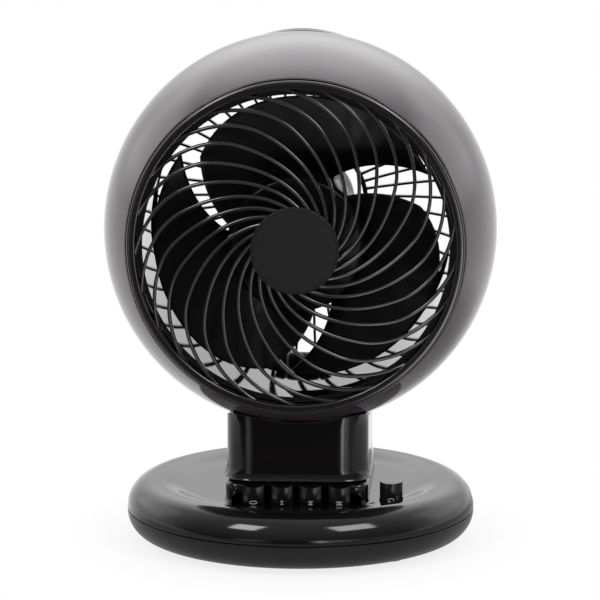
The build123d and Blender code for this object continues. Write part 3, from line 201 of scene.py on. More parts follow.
class NeckSizes(PropertyGroup):
    width: length("Width of the neck", 0.0754)
    depth: length("Depth of the neck", 0.090)
    corner: length("Rounding of the neck's upright corners", 0.015)
    wall: length("Wall of the neck", 0.0024)
    spread: length("How far the foot flares out", 0.0017)
    foot: length("Height of the flared foot", 0.0062)
    bottom: length("Height of the plane on which the neck swings", 0.0406)
    gap: length("Gap between the neck and the globe through the whole tilt", 0.0016)
    tilt_depth: length("Depth of the tilt axis", 0.022)
    tilt_height: length("Height of the tilt axis", 0.088)
    tilt: turn("How far the globe leans back", 25)


class BaseSizes(PropertyGroup):
    radius: length("Radius of the base", 0.0934)
    wall: length("Wall of the cover and the tray", 0.0024)
    seam: length("Height of the seam between cover and tray", 0.017)
    groove: length("Height of the seam's groove", 0.0005)
    rim: length("Rounding of the rim above the seam", 0.0144)
    crest: length("Height of the rounded crest", 0.0326)
    dish: length("Radius of the flat dish round the block", 0.060)
    dish_height: length("Height of the dish", 0.029)
    tray_round: length("Rounding of the tray's edge", 0.014)
    tray_bottom: length("Height of the tray above the table", 0.002)
    pod_width: length("Width of the raised block under the neck", 0.076)
    pod_depth: length("Depth of the raised block", 0.094)
    pod_corner: length("Rounding of the block's upright corners", 0.007)
    pod_height: length("Height of the block's top", 0.0396)
    pod_wall: length("Wall of the block's top", 0.003)
    pod_edge: length("Rounding of the block's top edge and foot", 0.002)
    bush: length("Radius of the opening for the swivel bush", 0.020)
    screw_circle: length("Radius of the circle of the base screws", 0.062)
    inlet_height: length("Height of the inlet's axis", 0.011)
    inlet_radius: length("Radius of the inlet's flange", 0.0058)


class KeySizes(PropertyGroup):
    pitch: length("Distance between two keys", 0.0152)
    width: length("Width of a key", 0.0115)
    depth: length("Depth of a key", 0.0096)
    front: depth("Depth of the keys' front faces", -0.0516)
    bulge: length("How far a key's front face is bowed", 0.0014)
    top: length("Height of the keys", 0.0398)
    bottom: length("Height of the keys' lower edge", 0.0226)
    edge: length("Rounding of the keys' edges", 0.0007)
    well_half: length("Half the length of the keys' well", 0.0345)
    well_end_top: length("Height at which the block closes over the well's ends", 0.0345)
    well_end_round: length("Rounding of the ceiling at the well's ends", 0.0035)
    well_row: length("Half the length of the opening above the keys", 0.02895)
    well_arc: length("Radius of the well's front edge about the swivel", 0.0574)
    dip: length("How far the hollow dips into the top of a key", 0.0015)
    well_front: depth("Front edge of the keys' well", -0.0532)
    well_back: depth("Back edge of the keys' well", -0.0396)
    gap: length("Gap round the swing key", 0.0004)
    swing_x: length("How far to the right the swing key stands", 0.050)
    swing_y: depth("Depth of the swing key's middle", -0.038)
    swing_width: length("Width of the swing key", 0.012)
    swing_depth: length("Depth of the swing key", 0.010)
    swing_dip: length("How far the hollow dips into the swing key", 0.0008)
    swing_top: length("Height of the swing key", 0.0399)
    mark_low: length("Height of the lower edge of the markings", 0.0296)
    mark_size: length("Height of the markings", 0.0016)
    mark_stroke: length("Width of the markings' strokes", 0.00042)
    mark_round: length("Width of the O", 0.0042)
    mark_pitch: length("Distance between two strokes of a number", 0.0008)


class Finishes(PropertyGroup):
    shell: tint("Colour of the globe's glossy plastic", (0.027, 0.016, 0.024))
    base: tint("Colour of the glossy base and neck", (0.0036, 0.0028, 0.0031))
    grille: tint("Colour of the front grille", (0.0068, 0.0056, 0.0060))
    disc: tint("Colour of the disc on the hub", (0.0060, 0.0050, 0.0054))
    blade: tint("Colour of the blades", (0.0034, 0.0027, 0.0029))
    tray: tint("Colour of the base tray", (0.0045, 0.0038, 0.0040))
    marking: tint("Colour of the key markings", (0.42, 0.43, 0.43))
    gloss: share("Roughness of the glossy shells", 0.07)
    satin: share("Roughness of the grille", 0.11)
    matt: share("Roughness of the disc and the tray", 0.5)


class Studio(PropertyGroup):
    azimuth: turn("How far the camera stands to the right of the front", 2.6)
    elevation: turn("How far the camera looks down", 11.25)
    distance: length("Distance of the camera from its target", 2.6)
    aside: depth("How far to the right of the middle the camera looks", -0.0003)
    target: length("Height of the point the camera looks at", 0.1298)
    focal: plain("Focal length in millimetres", 290.9)
    floor: tint("Colour of the floor and backdrop", (0.88, 0.88, 0.88))
    back_panel: plain("Brightness of the panel behind, 1 is white", 1.6)
    side_panels: plain("Brightness of the two panels at the back's sides", 0.6)
    front_boxes: plain("Brightness of the two small soft boxes in front", 9.0)
    ambient: plain("Strength of the light all round", 0.45)
    # painted reflections: in reflections alone the floor turns dark in front and dimmer at the sides,
    # though the camera sees it white
    dark_front: length("How far in front reflections of the floor turn dark", 0.17)
    dim_sides: share("How much darker reflections of the floor are at the sides", 0.55)
    shadow: share("How much of the floor's own shading the camera sees at the object", 0.18)
    shadow_reach: length("Distance at which the floor's own shading has faded", 0.145)


SIZE_GROUPS = {
    "globe": GlobeSizes,
    "handle": HandleSizes,
    "grille": GrilleSizes,
    "rear": RearGrilleSizes,
    "duct": DuctSizes,
    "blade": BladeSizes,
    "neck": NeckSizes,
    "base": BaseSizes,
    "key": KeySizes,
    "finish": Finishes,
    "studio": Studio,
}
GROUP_PREFIX = "circulator_"


def given(name):
    """A group of sizes or colours as the scene holds it."""
    return getattr(bpy.context.scene, GROUP_PREFIX + name)


# ------------------------------------------------------------------ making meshes
def arc(centre, radius, start, end, steps):
    """Points of an arc in a flat section, from one angle in degrees to another."""
    points = []
    for step in range(steps + 1):
        angle = math.radians(start + (end - start) * step / steps)
        points.append((centre[0] + radius * math.cos(angle), centre[1] + radius * math.sin(angle)))
    return points


def round_corners(corners, steps=5):
    """Closed outline through corners (x, y, radius), each rounded by its own radius."""
    outline = []
    for index, (x, y, radius) in enumerate(corners):
        if radius <= 0:
            outline.append((x, y))
            continue
        here = Vector((x, y))
        back = (Vector(corners[index - 1][:2]) - here).normalized()
        ahead = (Vector(corners[(index + 1) % len(corners)][:2]) - here).normalized()
        half = back.angle(ahead) / 2
        centre = here + (back + ahead).normalized() * radius / math.sin(half)
        reach = radius / math.tan(half)
        first = here + back * reach - centre
        last = here + ahead * reach - centre
        sweep = first.angle(last)
        for step in range(steps + 1):
            turned = sweep * step / steps
            spoke = first * math.sin(sweep - turned) + last * math.sin(turned)
            outline.append(tuple(centre + spoke / math.sin(sweep)))
    return outline


def make_piece(name, vertices, faces, place=None, sharp=SHARP, weld=0.0):
    """Plain mesh object whose faces point outwards, smooth but for edges sharper than an angle."""
    mesh = bpy.data.meshes.new(name)
    mesh.from_pydata(vertices, [], faces)
    shape = bmesh.new()
    shape.from_mesh(mesh)
    if weld:
        bmesh.ops.remove_doubles(shape, verts=shape.verts, dist=weld)
    bmesh.ops.recalc_face_normals(shape, faces=shape.faces)
    shape.to_mesh(mesh)
    shape.free()
    if place is not None:
        mesh.transform(place)
    piece = bpy.data.objects.new(name, mesh)
    bpy.context.scene.collection.objects.link(piece)
    return smooth(piece, sharp)


def smooth(piece, sharp=SHARP):
    piece.data.shade_smooth()
    piece.data.set_sharp_from_angle(angle=math.radians(sharp))
    return piece


def settle(piece, sharp=None):
    """Make what the piece's modifiers give its plain mesh."""
    graph = bpy.context.evaluated_depsgraph_get()
    mesh = bpy.data.meshes.new_from_object(piece.evaluated_get(graph))
    piece.modifiers.clear()
    piece.data = mesh
    if sharp is not None:
        smooth(piece, sharp)
    return piece


def rings_to_faces(rings, size, closed_rings=True, closed_path=True):
    """Quads between rings of equal size, which follow one another along a path."""
    faces = []
    last_ring = rings if closed_path else rings - 1
    last_point = size if closed_rings else size - 1
    for ring in range(last_ring):
        here, there = ring * size, (ring + 1) % rings * size
        for point in range(last_point):
            beside = (point + 1) % size
            faces.append((here + point, here + beside, there + beside, there + point))
    return faces


def lathe(name, outline, place=None, segments=192, sharp=SHARP):
    """Solid of revolution about local Z from a closed outline of (radius, height)."""
    vertices = []
    for segment in range(segments):
        angle = 2 * math.pi * segment / segments
        vertices += [(r * math.cos(angle), r * math.sin(angle), z) for r, z in outline]
    faces = rings_to_faces(segments, len(outline))
    return make_piece(name, vertices, faces, place, sharp, weld=WELD)


def prism(name, outline, low, high, place=None, sharp=SHARP):
    """Upright prism with a closed outline as its plan."""
    count = len(outline)
    vertices = [(x, y, low) for x, y in outline] + [(x, y, high) for x, y in outline]
    faces = rings_to_faces(2, count, closed_path=False)
    faces += [tuple(range(count)), tuple(range(count, 2 * count))]
    return make_piece(name, vertices, faces, place, sharp)


def soften(piece, width, segments=3, angle=40.0):
    """Round the piece's sharp edges."""
    bevel = piece.modifiers.new("round", "BEVEL")
    bevel.width = width
    bevel.segments = segments
    bevel.limit_method = "ANGLE"
    bevel.angle_limit = math.radians(angle)
    return settle(piece, SHARP)


def rectangle(half, low, high):
    """Corners of a rectangle from -half to half and from low to high."""
    return [(-half, low), (half, low), (half, high), (-half, high)]


def combine(piece, other, operation, sharp=SHARP):
    """Join another shape to the piece or cut it away, and drop the other shape."""
    boolean = piece.modifiers.new("combine", "BOOLEAN")
    boolean.operation = operation
    boolean.object = other
    boolean.solver = "EXACT"
    settle(piece, sharp)
    drop(other)
    if not piece.data.polygons:
        raise RuntimeError(piece.name + " is empty after a boolean")


def drop(piece):
    mesh = piece.data
    bpy.data.objects.remove(piece)
    bpy.data.meshes.remove(mesh)


def join(name, pieces):
    """One smooth object from several."""
    shape = bmesh.new()
    for piece in pieces:
        shape.from_mesh(piece.data)
    mesh = bpy.data.meshes.new(name)
    shape.to_mesh(mesh)
    shape.free()
    whole = bpy.data.objects.new(name, mesh)
    bpy.context.scene.collection.objects.link(whole)
    for piece in list(pieces):
        drop(piece)
    return smooth(whole)


def dress(piece, body, slot, nodes=(), kind=None):
    """Give a finished piece the finish of its kind, or else of its slot, and its body, and hide the nodes
    that it stands for.
    """
    if not any(piece.data.materials):
        piece.data.materials.clear()
        piece.data.materials.append(finish(kind or slot))
    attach(piece, body)
    if nodes:
        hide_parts(*nodes)


def head_place():
    return Matrix.Translation((0, 0, given("globe").height)) @ LAY_BACK


def clock(degrees):
    """Turn about the globe's axis, clockwise from the top as seen from the front."""
    return Matrix.Rotation(math.radians(degrees), 4, "Z")


# ------------------------------------------------------------------ node trees
class Wire:
    """Output of a shader or geometry node, used like a number in sums."""

    def __init__(self, nodes, socket):
        self.nodes = nodes
        self.socket = socket

    def clamp(self, low=0.0, high=1.0):
        return self.nodes.maths("MINIMUM", self.nodes.maths("MAXIMUM", self, low), high)

    def part(self, axis):
        """X, Y or Z of a vector."""
        return self.nodes.wire("ShaderNodeSeparateXYZ", axis, {0: self})


SUMS = {"add": "ADD", "sub": "SUBTRACT", "mul": "MULTIPLY", "truediv": "DIVIDE", "pow": "POWER"}
for sign, sum_name in SUMS.items():
    setattr(Wire, f"__{sign}__", lambda self, other, kind=sum_name: self.nodes.maths(kind, self, other))
    setattr(Wire, f"__r{sign}__", lambda self, other, kind=sum_name: self.nodes.maths(kind, other, self))


class Nodes:
    """A node tree that is written down as expressions."""
    family = "ShaderNode"

    def __init__(self, tree):
        self.tree = tree
        tree.nodes.clear()

    def node(self, kind, inputs=None, **settings):
        """Node of the tree's family or of a full type name, set first and then given its inputs."""
        node = self.tree.nodes.new(kind if "Node" in kind else self.family + kind)
        for key, value in settings.items():
            setattr(node, key, value)
        for key, value in (inputs or {}).items():
            socket = node.inputs[key]
            if isinstance(value, Wire):
                self.tree.links.new(value.socket, socket)
            elif socket.type == "RGBA" and len(value) == 3:
                socket.default_value = (*value, 1.0)
            else:
                socket.default_value = value
        return node

    def wire(self, kind, output, inputs=None, **settings):
        return Wire(self, self.node(kind, inputs, **settings).outputs[output])

    def maths(self, operation, *values):
        return self.wire("ShaderNodeMath", 0, dict(enumerate(values)), operation=operation)

    def vector(self, x, y, z):
        return self.wire("ShaderNodeCombineXYZ", 0, {0: x, 1: y, 2: z})

    def blend(self, factor, first, second):
        """Mix of two colours."""
        return self.wire("ShaderNodeMix", 2, {0: factor, 6: first, 7: second}, data_type="RGBA")

    def ramp(self, value, start, end):
        """0 up to the start, rising softly to 1 at the end."""
        return self.wire("ShaderNodeMapRange", 0, {"Value": value, "From Min": start, "From Max": end},
                         interpolation_type="SMOOTHSTEP")

    def white(self, strength):
        """White glow of a strength."""
        return self.wire("Emission", 0, {"Color": (1.0, 1.0, 1.0), "Strength": strength})


class Surface(Nodes):
    """A material on Object coordinates, in millimetres."""

    def __init__(self, name):
        self.material = bpy.data.materials.new(name)
        self.material.use_nodes = True
        super().__init__(self.material.node_tree)
        place = self.wire("TexCoord", "Object")
        self.place = self.wire("VectorMath", 0, {0: place, "Scale": 1 / MM}, operation="SCALE")

    def noise(self, size, detail=2.0, roughness=0.5, place=None):
        """Cloudy pattern from 0 to 1, with features of a size in millimetres."""
        return self.wire("TexNoise", 0, {"Vector": place or self.place, "Scale": 1 / size,
                                         "Detail": detail, "Roughness": roughness})

    def stripes(self, along, pitch):
        """Even waves from 0 to 1 along a direction, with a pitch in millimetres."""
        return self.maths("SINE", along * (2 * math.pi / pitch)) * 0.5 + 0.5

    def bump(self, height, reach, strength=1.0):
        """Normal of a relief whose heights, from 0 to 1, stand for a reach in millimetres."""
        return self.wire("Bump", 0, {"Height": height, "Distance": reach * MM, "Strength": strength})

    def finish(self, **inputs):
        """Close the material with its main shader; names are the sockets' with _ for a space."""
        shader = self.wire("BsdfPrincipled", 0,
                           {key.replace("_", " "): value for key, value in inputs.items()})
        self.node("OutputMaterial", {"Surface": shader})
        return self.material


def shaded(colour, factor):
    """The colour made lighter or darker by a factor."""
    return tuple(part * factor for part in colour)


def polished(name, colour, roughness, ior=1.5):
    """High-gloss moulded plastic: a faint flow in the skin, wiping marks and a little dust."""
    surface = Surface(name)
    flow = surface.noise(size=38.0)
    wiping = surface.noise(size=9.0, detail=5.0, roughness=0.62)
    dust = (surface.noise(size=0.9) - 0.70).clamp() * 3.0
    base = surface.blend(wiping * 0.5, colour, shaded(colour, 1.35))
    base = surface.blend(dust.clamp() * 0.04, base, (0.20, 0.19, 0.18))
    rough = (wiping - 0.5) * 0.06 + (flow - 0.5) * 0.02 + dust * 0.05 + roughness
    return surface.finish(Base_Color=base, Roughness=rough.clamp(0.02), IOR=ior,
                          Normal=surface.bump(flow, 0.02, 0.6))


def grained(name, colour, roughness, grain, relief, specular=0.5):
    """Moulded plastic with a fine spark-eroded grain of a size and relief in millimetres."""
    surface = Surface(name)
    patch = surface.noise(size=14.0, detail=3.0)
    pebble = surface.wire("TexVoronoi", 0, {"Vector": surface.place, "Scale": 1 / grain,
                                            "Smoothness": 0.7}, feature="SMOOTH_F1")
    fine = surface.noise(size=grain * 0.6)
    rough = (patch - 0.5) * 0.10 + (fine - 0.5) * 0.08 + roughness
    return surface.finish(Base_Color=surface.blend(patch * 0.6, colour, shaded(colour, 1.5)),
                          Roughness=rough.clamp(0.05), IOR=1.5, Specular_IOR_Level=specular,
                          Normal=surface.bump(pebble * 0.6 + fine * 0.4, relief, 0.8))


def metal(name, colour, roughness, marks):
    """Metal with drawn marks, of a size in millimetres on X, Y and Z, and a few stains."""
    surface = Surface(name)
    stretched = surface.wire("VectorMath", 0, {0: surface.place, 1: marks}, operation="DIVIDE")
    drawn = surface.noise(size=1.0, detail=3.0, roughness=0.6, place=stretched)
    stain = surface.noise(size=7.0, detail=4.0)
    rough = (drawn - 0.5) * 0.25 + (stain - 0.5) * 0.12 + roughness
    return surface.finish(Base_Color=surface.blend(stain * 0.7, colour, shaded(colour, 0.72)),
                          Roughness=rough.clamp(0.05), Metallic=1.0,
                          Normal=surface.bump(drawn, 0.008, 0.5))


def marking_paint(look):
    surface = Surface("marking_paint")
    speck = surface.noise(size=0.35, detail=3.0)
    return surface.finish(Base_Color=surface.blend(speck * 0.4, look.marking, shaded(look.marking, 0.8)),
                          Roughness=(speck * 0.2 + 0.45).clamp(), Normal=surface.bump(speck, 0.01, 0.5))


def natural_nylon(look):
    surface = Surface("natural_nylon")
    cloud = surface.noise(size=6.0, detail=4.0)
    return surface.finish(Base_Color=surface.blend(cloud, (0.70, 0.67, 0.58), (0.78, 0.76, 0.70)),
                          Roughness=(cloud * 0.15 + 0.35).clamp(),
                          Normal=surface.bump(surface.noise(size=0.8), 0.01, 0.5))


def core_sheets(look):
    """Motor laminations: thin sheets stacked along the globe's axis."""
    surface = Surface("core_sheets")
    sheet = surface.stripes(surface.place.part("Y"), 0.6)
    return surface.finish(Base_Color=surface.blend(sheet * 0.8, (0.30, 0.30, 0.32), (0.12, 0.12, 0.13)),
                          Roughness=(sheet * 0.2 + 0.35).clamp(), Metallic=0.9,
                          Normal=surface.bump(sheet, 0.05, 0.7))


def copper_wire(look):
    """Enamelled copper winding: fine turns laid beside one another, with painted shade in the grooves
    between them.
    """
    surface = Surface("copper_wire")
    turns = surface.stripes(surface.place.part("X") + surface.place.part("Z"), 0.8)
    # painted shade: the colour runs darker into the grooves between turns, where the bump is low
    return surface.finish(Base_Color=surface.blend(turns, (0.55, 0.22, 0.09), (0.74, 0.36, 0.16)),
                          Roughness=(turns * 0.1 + 0.25).clamp(), Metallic=0.85,
                          Normal=surface.bump(turns, 0.12, 0.8))


# the finish of each slot, and after them two that only some pieces of a slot have
FINISHES = {
    "gloss_shell": lambda look: polished("globe_gloss", look.shell, look.gloss, ior=1.75),
    "gloss_base": lambda look: polished("base_gloss", look.base, look.gloss + 0.02),
    "grille_black": lambda look: grained("grille_satin", look.grille, look.satin, grain=0.5,
                                         relief=0.003, specular=1.0),
    "badge_black": lambda look: grained("disc_matt", look.disc, look.matt, grain=0.35,
                                        relief=0.016, specular=0.3),
    "blade_black": lambda look: grained("blade_satin", look.blade, roughness=0.2, grain=0.6,
                                        relief=0.002, specular=0.12),
    "satin_black": lambda look: grained("inner_satin", (0.022, 0.022, 0.023), roughness=0.42,
                                        grain=0.6, relief=0.012),
    "tray_black": lambda look: grained("tray_matt", look.tray, roughness=0.26, grain=0.4, relief=0.008),
    "key_black": lambda look: grained("key_gloss", look.base, roughness=0.2, grain=0.5, relief=0.004),
    "feet_rubber": lambda look: grained("soft_rubber", (0.018, 0.018, 0.018), roughness=0.78,
                                        grain=0.5, relief=0.03),
    "screw_steel": lambda look: metal("black_zinc", (0.10, 0.10, 0.105), 0.38, marks=(0.3, 0.3, 0.3)),
    "motor_steel": lambda look: metal("zinc_steel", (0.17, 0.17, 0.175), 0.34, marks=(0.4, 6.0, 0.4)),
    "shaft_steel": lambda look: metal("ground_steel", (0.70, 0.70, 0.71), 0.18, marks=(1.2, 0.15, 1.2)),
    "bearing_bronze": lambda look: metal("bearing_bronze", (0.55, 0.38, 0.20), 0.45,
                                         marks=(0.3, 0.3, 0.3)),
    "nylon_natural": natural_nylon,
    "lamination": core_sheets,
    "copper_wire": copper_wire,
    "duct": lambda look: polished("duct_gloss", look.blade, 0.04, ior=1.9),
    "marking": marking_paint,
}
MADE = {}


def finish(kind):
    """Finish of a kind: made the first time it is asked for, and the same one after that."""
    if kind not in MADE:
        MADE[kind] = FINISHES[kind](given("finish"))
    return MADE[kind]


# ------------------------------------------------------------------ ribs by geometry nodes
class Weave(Nodes):
    """A geometry tree with named inputs, whose result becomes a plain mesh."""
    family = "GeometryNode"

    def __init__(self, name):
        self.group = bpy.data.node_groups.new(name, "GeometryNodeTree")
        super().__init__(self.group)
        self.inlet = self.node("NodeGroupInput")
        self.values = {}

    def ask(self, name, value, kind="NodeSocketFloat"):
        """Named input of the tree with its value for this piece."""
        socket = self.group.interface.new_socket(name=name, in_out="INPUT", socket_type=kind)
        self.values[socket.identifier] = value
        return Wire(self, self.inlet.outputs[socket.identifier])

    def points(self, count):
        """Points that stand for the copies of a shape."""
        return self.wire("MeshLine", 0, {"Count": self.ask("Count", count, "NodeSocketInt"),
                                         "Offset": (0.0, 0.0, 0.0)}, mode="OFFSET")

    def copies(self, points, shape, turn):
        """A copy of the shape at each point, turned about Z."""
        return self.wire("InstanceOnPoints", 0, {"Points": points, "Instance": shape,
                                                 "Rotation": self.vector(0.0, 0.0, turn)})

    def make(self, name, geometry, material, place, sharp):
        """Realize the instances, set the material and hand back a plain mesh object."""
        real = self.wire("RealizeInstances", 0, {"Geometry": geometry})
        stuff = self.ask("Finish", material, "NodeSocketMaterial")
        dressed = self.wire("SetMaterial", 0, {"Geometry": real, "Material": stuff})
        self.group.interface.new_socket(name="Geometry", in_out="OUTPUT",
                                        socket_type="NodeSocketGeometry")
        self.node("NodeGroupOutput", {0: dressed})
        piece = bpy.data.objects.new(name, bpy.data.meshes.new(name))
        bpy.context.scene.collection.objects.link(piece)
        modifier = piece.modifiers.new("weave", "NODES")
        modifier.node_group = self.group
        for identifier, value in self.values.items():
            modifier[identifier] = value
        settle(piece)
        if not piece.data.polygons:
            raise RuntimeError("the tree for " + name + " made nothing")
        piece.data.transform(place)
        return smooth(piece, sharp)


def rib_weave(name, sizes, place, steps=36):
    """Ribs of rounded section that run out along a dome, straight or as equiangular spirals.

    sizes: count, width, depth, inner, outer, twist, phase, hook, hook_start, unit_radius, dome,
    apex, sense and flare. sense is 1 where the dome falls away behind its apex, and -1 where it
    falls away in front."""
    weave = Weave(name)
    count = sizes.pop("count")
    ask = {key: weave.ask(key.replace("_", " ").title(), value) for key, value in sizes.items()}
    line = weave.wire("CurvePrimitiveLine", 0, mode="POINTS")
    line = weave.wire("ResampleCurve", 0, {"Curve": line, "Count": steps}, mode="COUNT")
    part = weave.wire("SplineParameter", "Factor")
    radius = ask["inner"] + (ask["outer"] - ask["inner"]) * part
    growth = weave.maths("LOGARITHM", radius / ask["unit_radius"], math.e)
    late = ((radius - ask["hook_start"]) / (ask["outer"] - ask["hook_start"])).clamp()
    angle = ask["phase"] - ask["twist"] * growth - ask["hook"] * late * late
    fall = ask["dome"] - weave.maths("SQRT", ask["dome"] * ask["dome"] - radius * radius)
    height = ask["apex"] + ask["sense"] * (fall + ask["depth"] * 0.5)
    spot = weave.vector(radius * weave.maths("SINE", angle),
                        -1.0 * radius * weave.maths("COSINE", angle), height)
    line = weave.wire("SetPosition", 0, {"Geometry": line, "Position": spot})
    line = weave.wire("SetCurveNormal", 0, {"Curve": line}, mode="Z_UP")
    ends = weave.maths("ABSOLUTE", part * 2.0 - 1.0) ** FLARE_POWER
    section = weave.wire("CurvePrimitiveQuadrilateral", 0,
                         {"Width": ask["width"], "Height": ask["depth"]}, mode="RECTANGLE")
    section = weave.wire("FilletCurve", 0, {"Curve": section, "Count": 3,
                                             "Radius": ask["width"] * NEAR_HALF}, mode="POLY")
    rib = weave.wire("CurveToMesh", 0, {"Curve": line, "Profile Curve": section, "Fill Caps": True,
                                        "Scale": 1.0 + ask["flare"] * ends})
    turn = weave.wire("InputIndex", 0) * (2 * math.pi / count)
    ribs = weave.copies(weave.points(count), rib, turn)
    return weave.make(name, ribs, finish("grille_black"), place, RIB_SHARP)


def screw_weave(name, circle, angles, place):
    """Cross-recessed screw heads on a circle; angles in degrees from local X."""
    template = recessed_head(SCREW_HEAD, SCREW_HEIGHT)
    weave = Weave(name)
    radius = weave.ask("Circle", circle)
    first = weave.ask("First angle", math.radians(angles[0]))
    step = weave.ask("Step", math.radians(angles[1] - angles[0]))
    angle = first + step * weave.wire("InputIndex", 0)
    spot = weave.vector(radius * weave.maths("COSINE", angle), radius * weave.maths("SINE", angle), 0.0)
    points = weave.wire("SetPosition", 0, {"Geometry": weave.points(len(angles)), "Position": spot})
    source = weave.ask("Screw", template, "NodeSocketObject")
    shape = weave.wire("ObjectInfo", "Geometry", {"Object": source}, transform_space="ORIGINAL")
    heads = weave.copies(points, shape, angle * SCREW_TURNS)
    piece = weave.make(name, heads, finish("screw_steel"), place, SHARP)
    drop(template)
    return piece


def recessed_head(radius, height):
    """Pan head of a screw with a cross recess, its seat at 0 and its top at height."""
    rim, crown_round = height * 0.35, radius * 0.45
    dome = arc((radius - crown_round, rim), crown_round, 0, 90, 5)[1:]
    crown = rim + crown_round
    outline = [(0, 0), (radius, 0), (radius, rim)]
    outline += [(r, z * height / crown) for r, z in dome] + [(0, height)]
    head = lathe("screw_template", outline, segments=32)
    for quarter in range(2):
        turned = Matrix.Rotation(quarter * math.pi / 2, 4, "Z")
        arm = prism("recess", rectangle(radius * 0.55, -radius * 0.13, radius * 0.13), rim,
                    height * 1.2, turned)
        combine(head, arm, "DIFFERENCE")
    return head


# ------------------------------------------------------------------ sections of the globe
def globe_radius_at(y, inset=0.0):
    """Radius of the globe's skin at a depth; the front half lies on a larger arc."""
    globe = given("globe")
    if y < 0:
        return globe.radius - globe.bulge + math.sqrt((globe.bulge - inset)**2 - y * y)
    return math.sqrt((globe.radius - inset)**2 - y * y)


def skin(start, end, steps, inset=0.0):
    """Points of the globe's skin between two depths."""
    depths = (start + (end - start) * step / steps for step in range(steps + 1))
    return [(globe_radius_at(y, inset), y) for y in depths]


def front_edge():
    """Depth of the front opening's edge."""
    globe = given("globe")
    return -math.sqrt(globe.bulge**2 - (globe.opening - globe.radius + globe.bulge)**2)


def ring_seat():
    return front_edge() + given("globe").seat_depth


def grille_hub():
    """Depth of the front face of the grille's hub plate."""
    return front_edge() - given("grille").hub_forward


def blade_plane():
    return grille_hub() + given("blade").behind


def rear_edge():
    globe = given("globe")
    return math.sqrt(globe.radius**2 - globe.rear_opening**2)


def box_piece(name, low, high):
    """Box from its lowest to its highest corner."""
    corners = [(low[0], low[1]), (high[0], low[1]), (high[0], high[1]), (low[0], high[1])]
    return prism(name, corners, low[2], high[2])


def hinge_slot():
    """Block that cuts the slot for the neck's post out of the globe's underside."""
    globe = given("globe")
    post_low, post_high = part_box("tilt_post")
    bottom = globe.height - globe.radius
    return box_piece("slot", (-SLOT_HALF, SLOT_FRONT, bottom - SLOT_DOWN),
                     (SLOT_HALF, SLOT_BACK, bottom + min(post_high.z - post_low.z, SLOT_UP)))


def seam_edge(side):
    """Rounded edge of a shell at the split, from its skin inwards; side is -1 for the front shell."""
    globe = given("globe")
    outer = globe_radius_at(globe.split)
    return [(outer - globe.seam * 0.4, globe.split + side * globe.seam * 0.3),
            (outer - globe.seam * 1.4, globe.split)]


class FAN_OT_globe_front(Operator):
    """Front shell of the globe, with the lip that the grille's ring is seated on"""
    bl_idname = "fan.globe_front"
    bl_label = "Globe front"

    def execute(self, context):
        globe = given("globe")
        edge, seat = front_edge(), ring_seat()
        lip_back = seat + LIP
        opening = globe.opening - RING_EASE
        bore = opening - globe.seat_lip
        roll = globe.rim_round
        rim_start = globe.opening - 0.0007
        rim = arc((globe.opening - roll * 0.6, edge + roll), roll, 250, 390, 8)
        outline = [point for point in rim if point[0] > rim_start]
        outline += skin(edge + roll * 1.6, 0, 44) + skin(ARCS_MEET, globe.split - globe.seam, 14)
        outline += seam_edge(-1)
        outline += skin(globe.split, 0, 10, globe.wall) + skin(-ARCS_MEET, lip_back, 24, globe.wall)
        outline += [(bore, lip_back), (bore, seat), (opening, seat)]
        piece = lathe("globe_front", outline, head_place(), LARGE_ROUND, SHELL_SHARP)
        combine(piece, hinge_slot(), "DIFFERENCE", SHELL_SHARP)
        dress(piece, "head", "gloss_shell", ["front_shell"])
        return {"FINISHED"}


def pocket(grow):
    """Finger pocket behind the grip, or the pocket with its walls, in place on the globe."""
    handle, globe = given("handle"), given("globe")
    top = globe.radius + 0.01       # clear of the shell
    section = [(handle.pocket_front - grow, handle.pocket_deep - grow),
               (handle.pocket_back + grow, handle.pocket_shallow - grow),
               (handle.pocket_back + grow, top), (handle.pocket_front - grow, top)]
    half = handle.half_width + grow
    across = Matrix(((0, 0, 1, 0), (1, 0, 0, 0), (0, 1, 0, globe.height), (0, 0, 0, 1)))
    return prism("pocket", section, -half, half, across)


def grip_top(x, y):
    """Height of the grip's top above the globe's centre."""
    handle, globe = given("handle"), given("globe")
    reach = globe.radius + handle.rise - handle.crown
    lens = handle.crown**2 - x * x - (y - reach * math.sin(handle.lean))**2
    crown = reach * math.cos(handle.lean) + math.sqrt(max(lens, 0))
    shell = math.sqrt(globe.radius**2 - x * x - y * y)
    front_share = 0.15      # of its rise, which the grip has at its front edge
    climb = min(1.0, front_share + (y - handle.front) / handle.slope)
    return shell + max(crown - shell, 0.0) * climb


def grip():
    """Grip of the carrying handle: a lens with rounded edges over the pocket."""
    handle, globe = given("handle"), given("globe")
    half = handle.half_width + handle.pocket_wall
    columns, rows = 48, 32
    under = globe.radius + handle.rise - handle.thickness
    vertices = []
    for level in range(2):
        for row in range(rows + 1):
            for column in range(columns + 1):
                x = -half + 2 * half * column / columns
                y = handle.front + (handle.back - handle.front) * row / rows
                height = grip_top(x, y) if level else math.sqrt(under**2 - x * x - y * y)
                vertices.append((x, y, globe.height + height))
    size, level_size = columns + 1, (columns + 1) * (rows + 1)
    sheet = rings_to_faces(rows + 1, size, closed_rings=False, closed_path=False)
    faces = sheet + [tuple(corner + level_size for corner in face) for face in sheet]
    border = ([(0, c) for c in range(columns)] + [(r, columns) for r in range(rows)]
              + [(rows, c) for c in range(columns, 0, -1)] + [(r, 0) for r in range(rows, 0, -1)])
    loop = [row * size + column for row, column in border]
    for here, there in zip(loop, loop[1:] + loop[:1]):
        faces.append((here, there, there + level_size, here + level_size))
    return soften(make_piece("grip", vertices, faces), handle.edge, 3, ROUNDED)


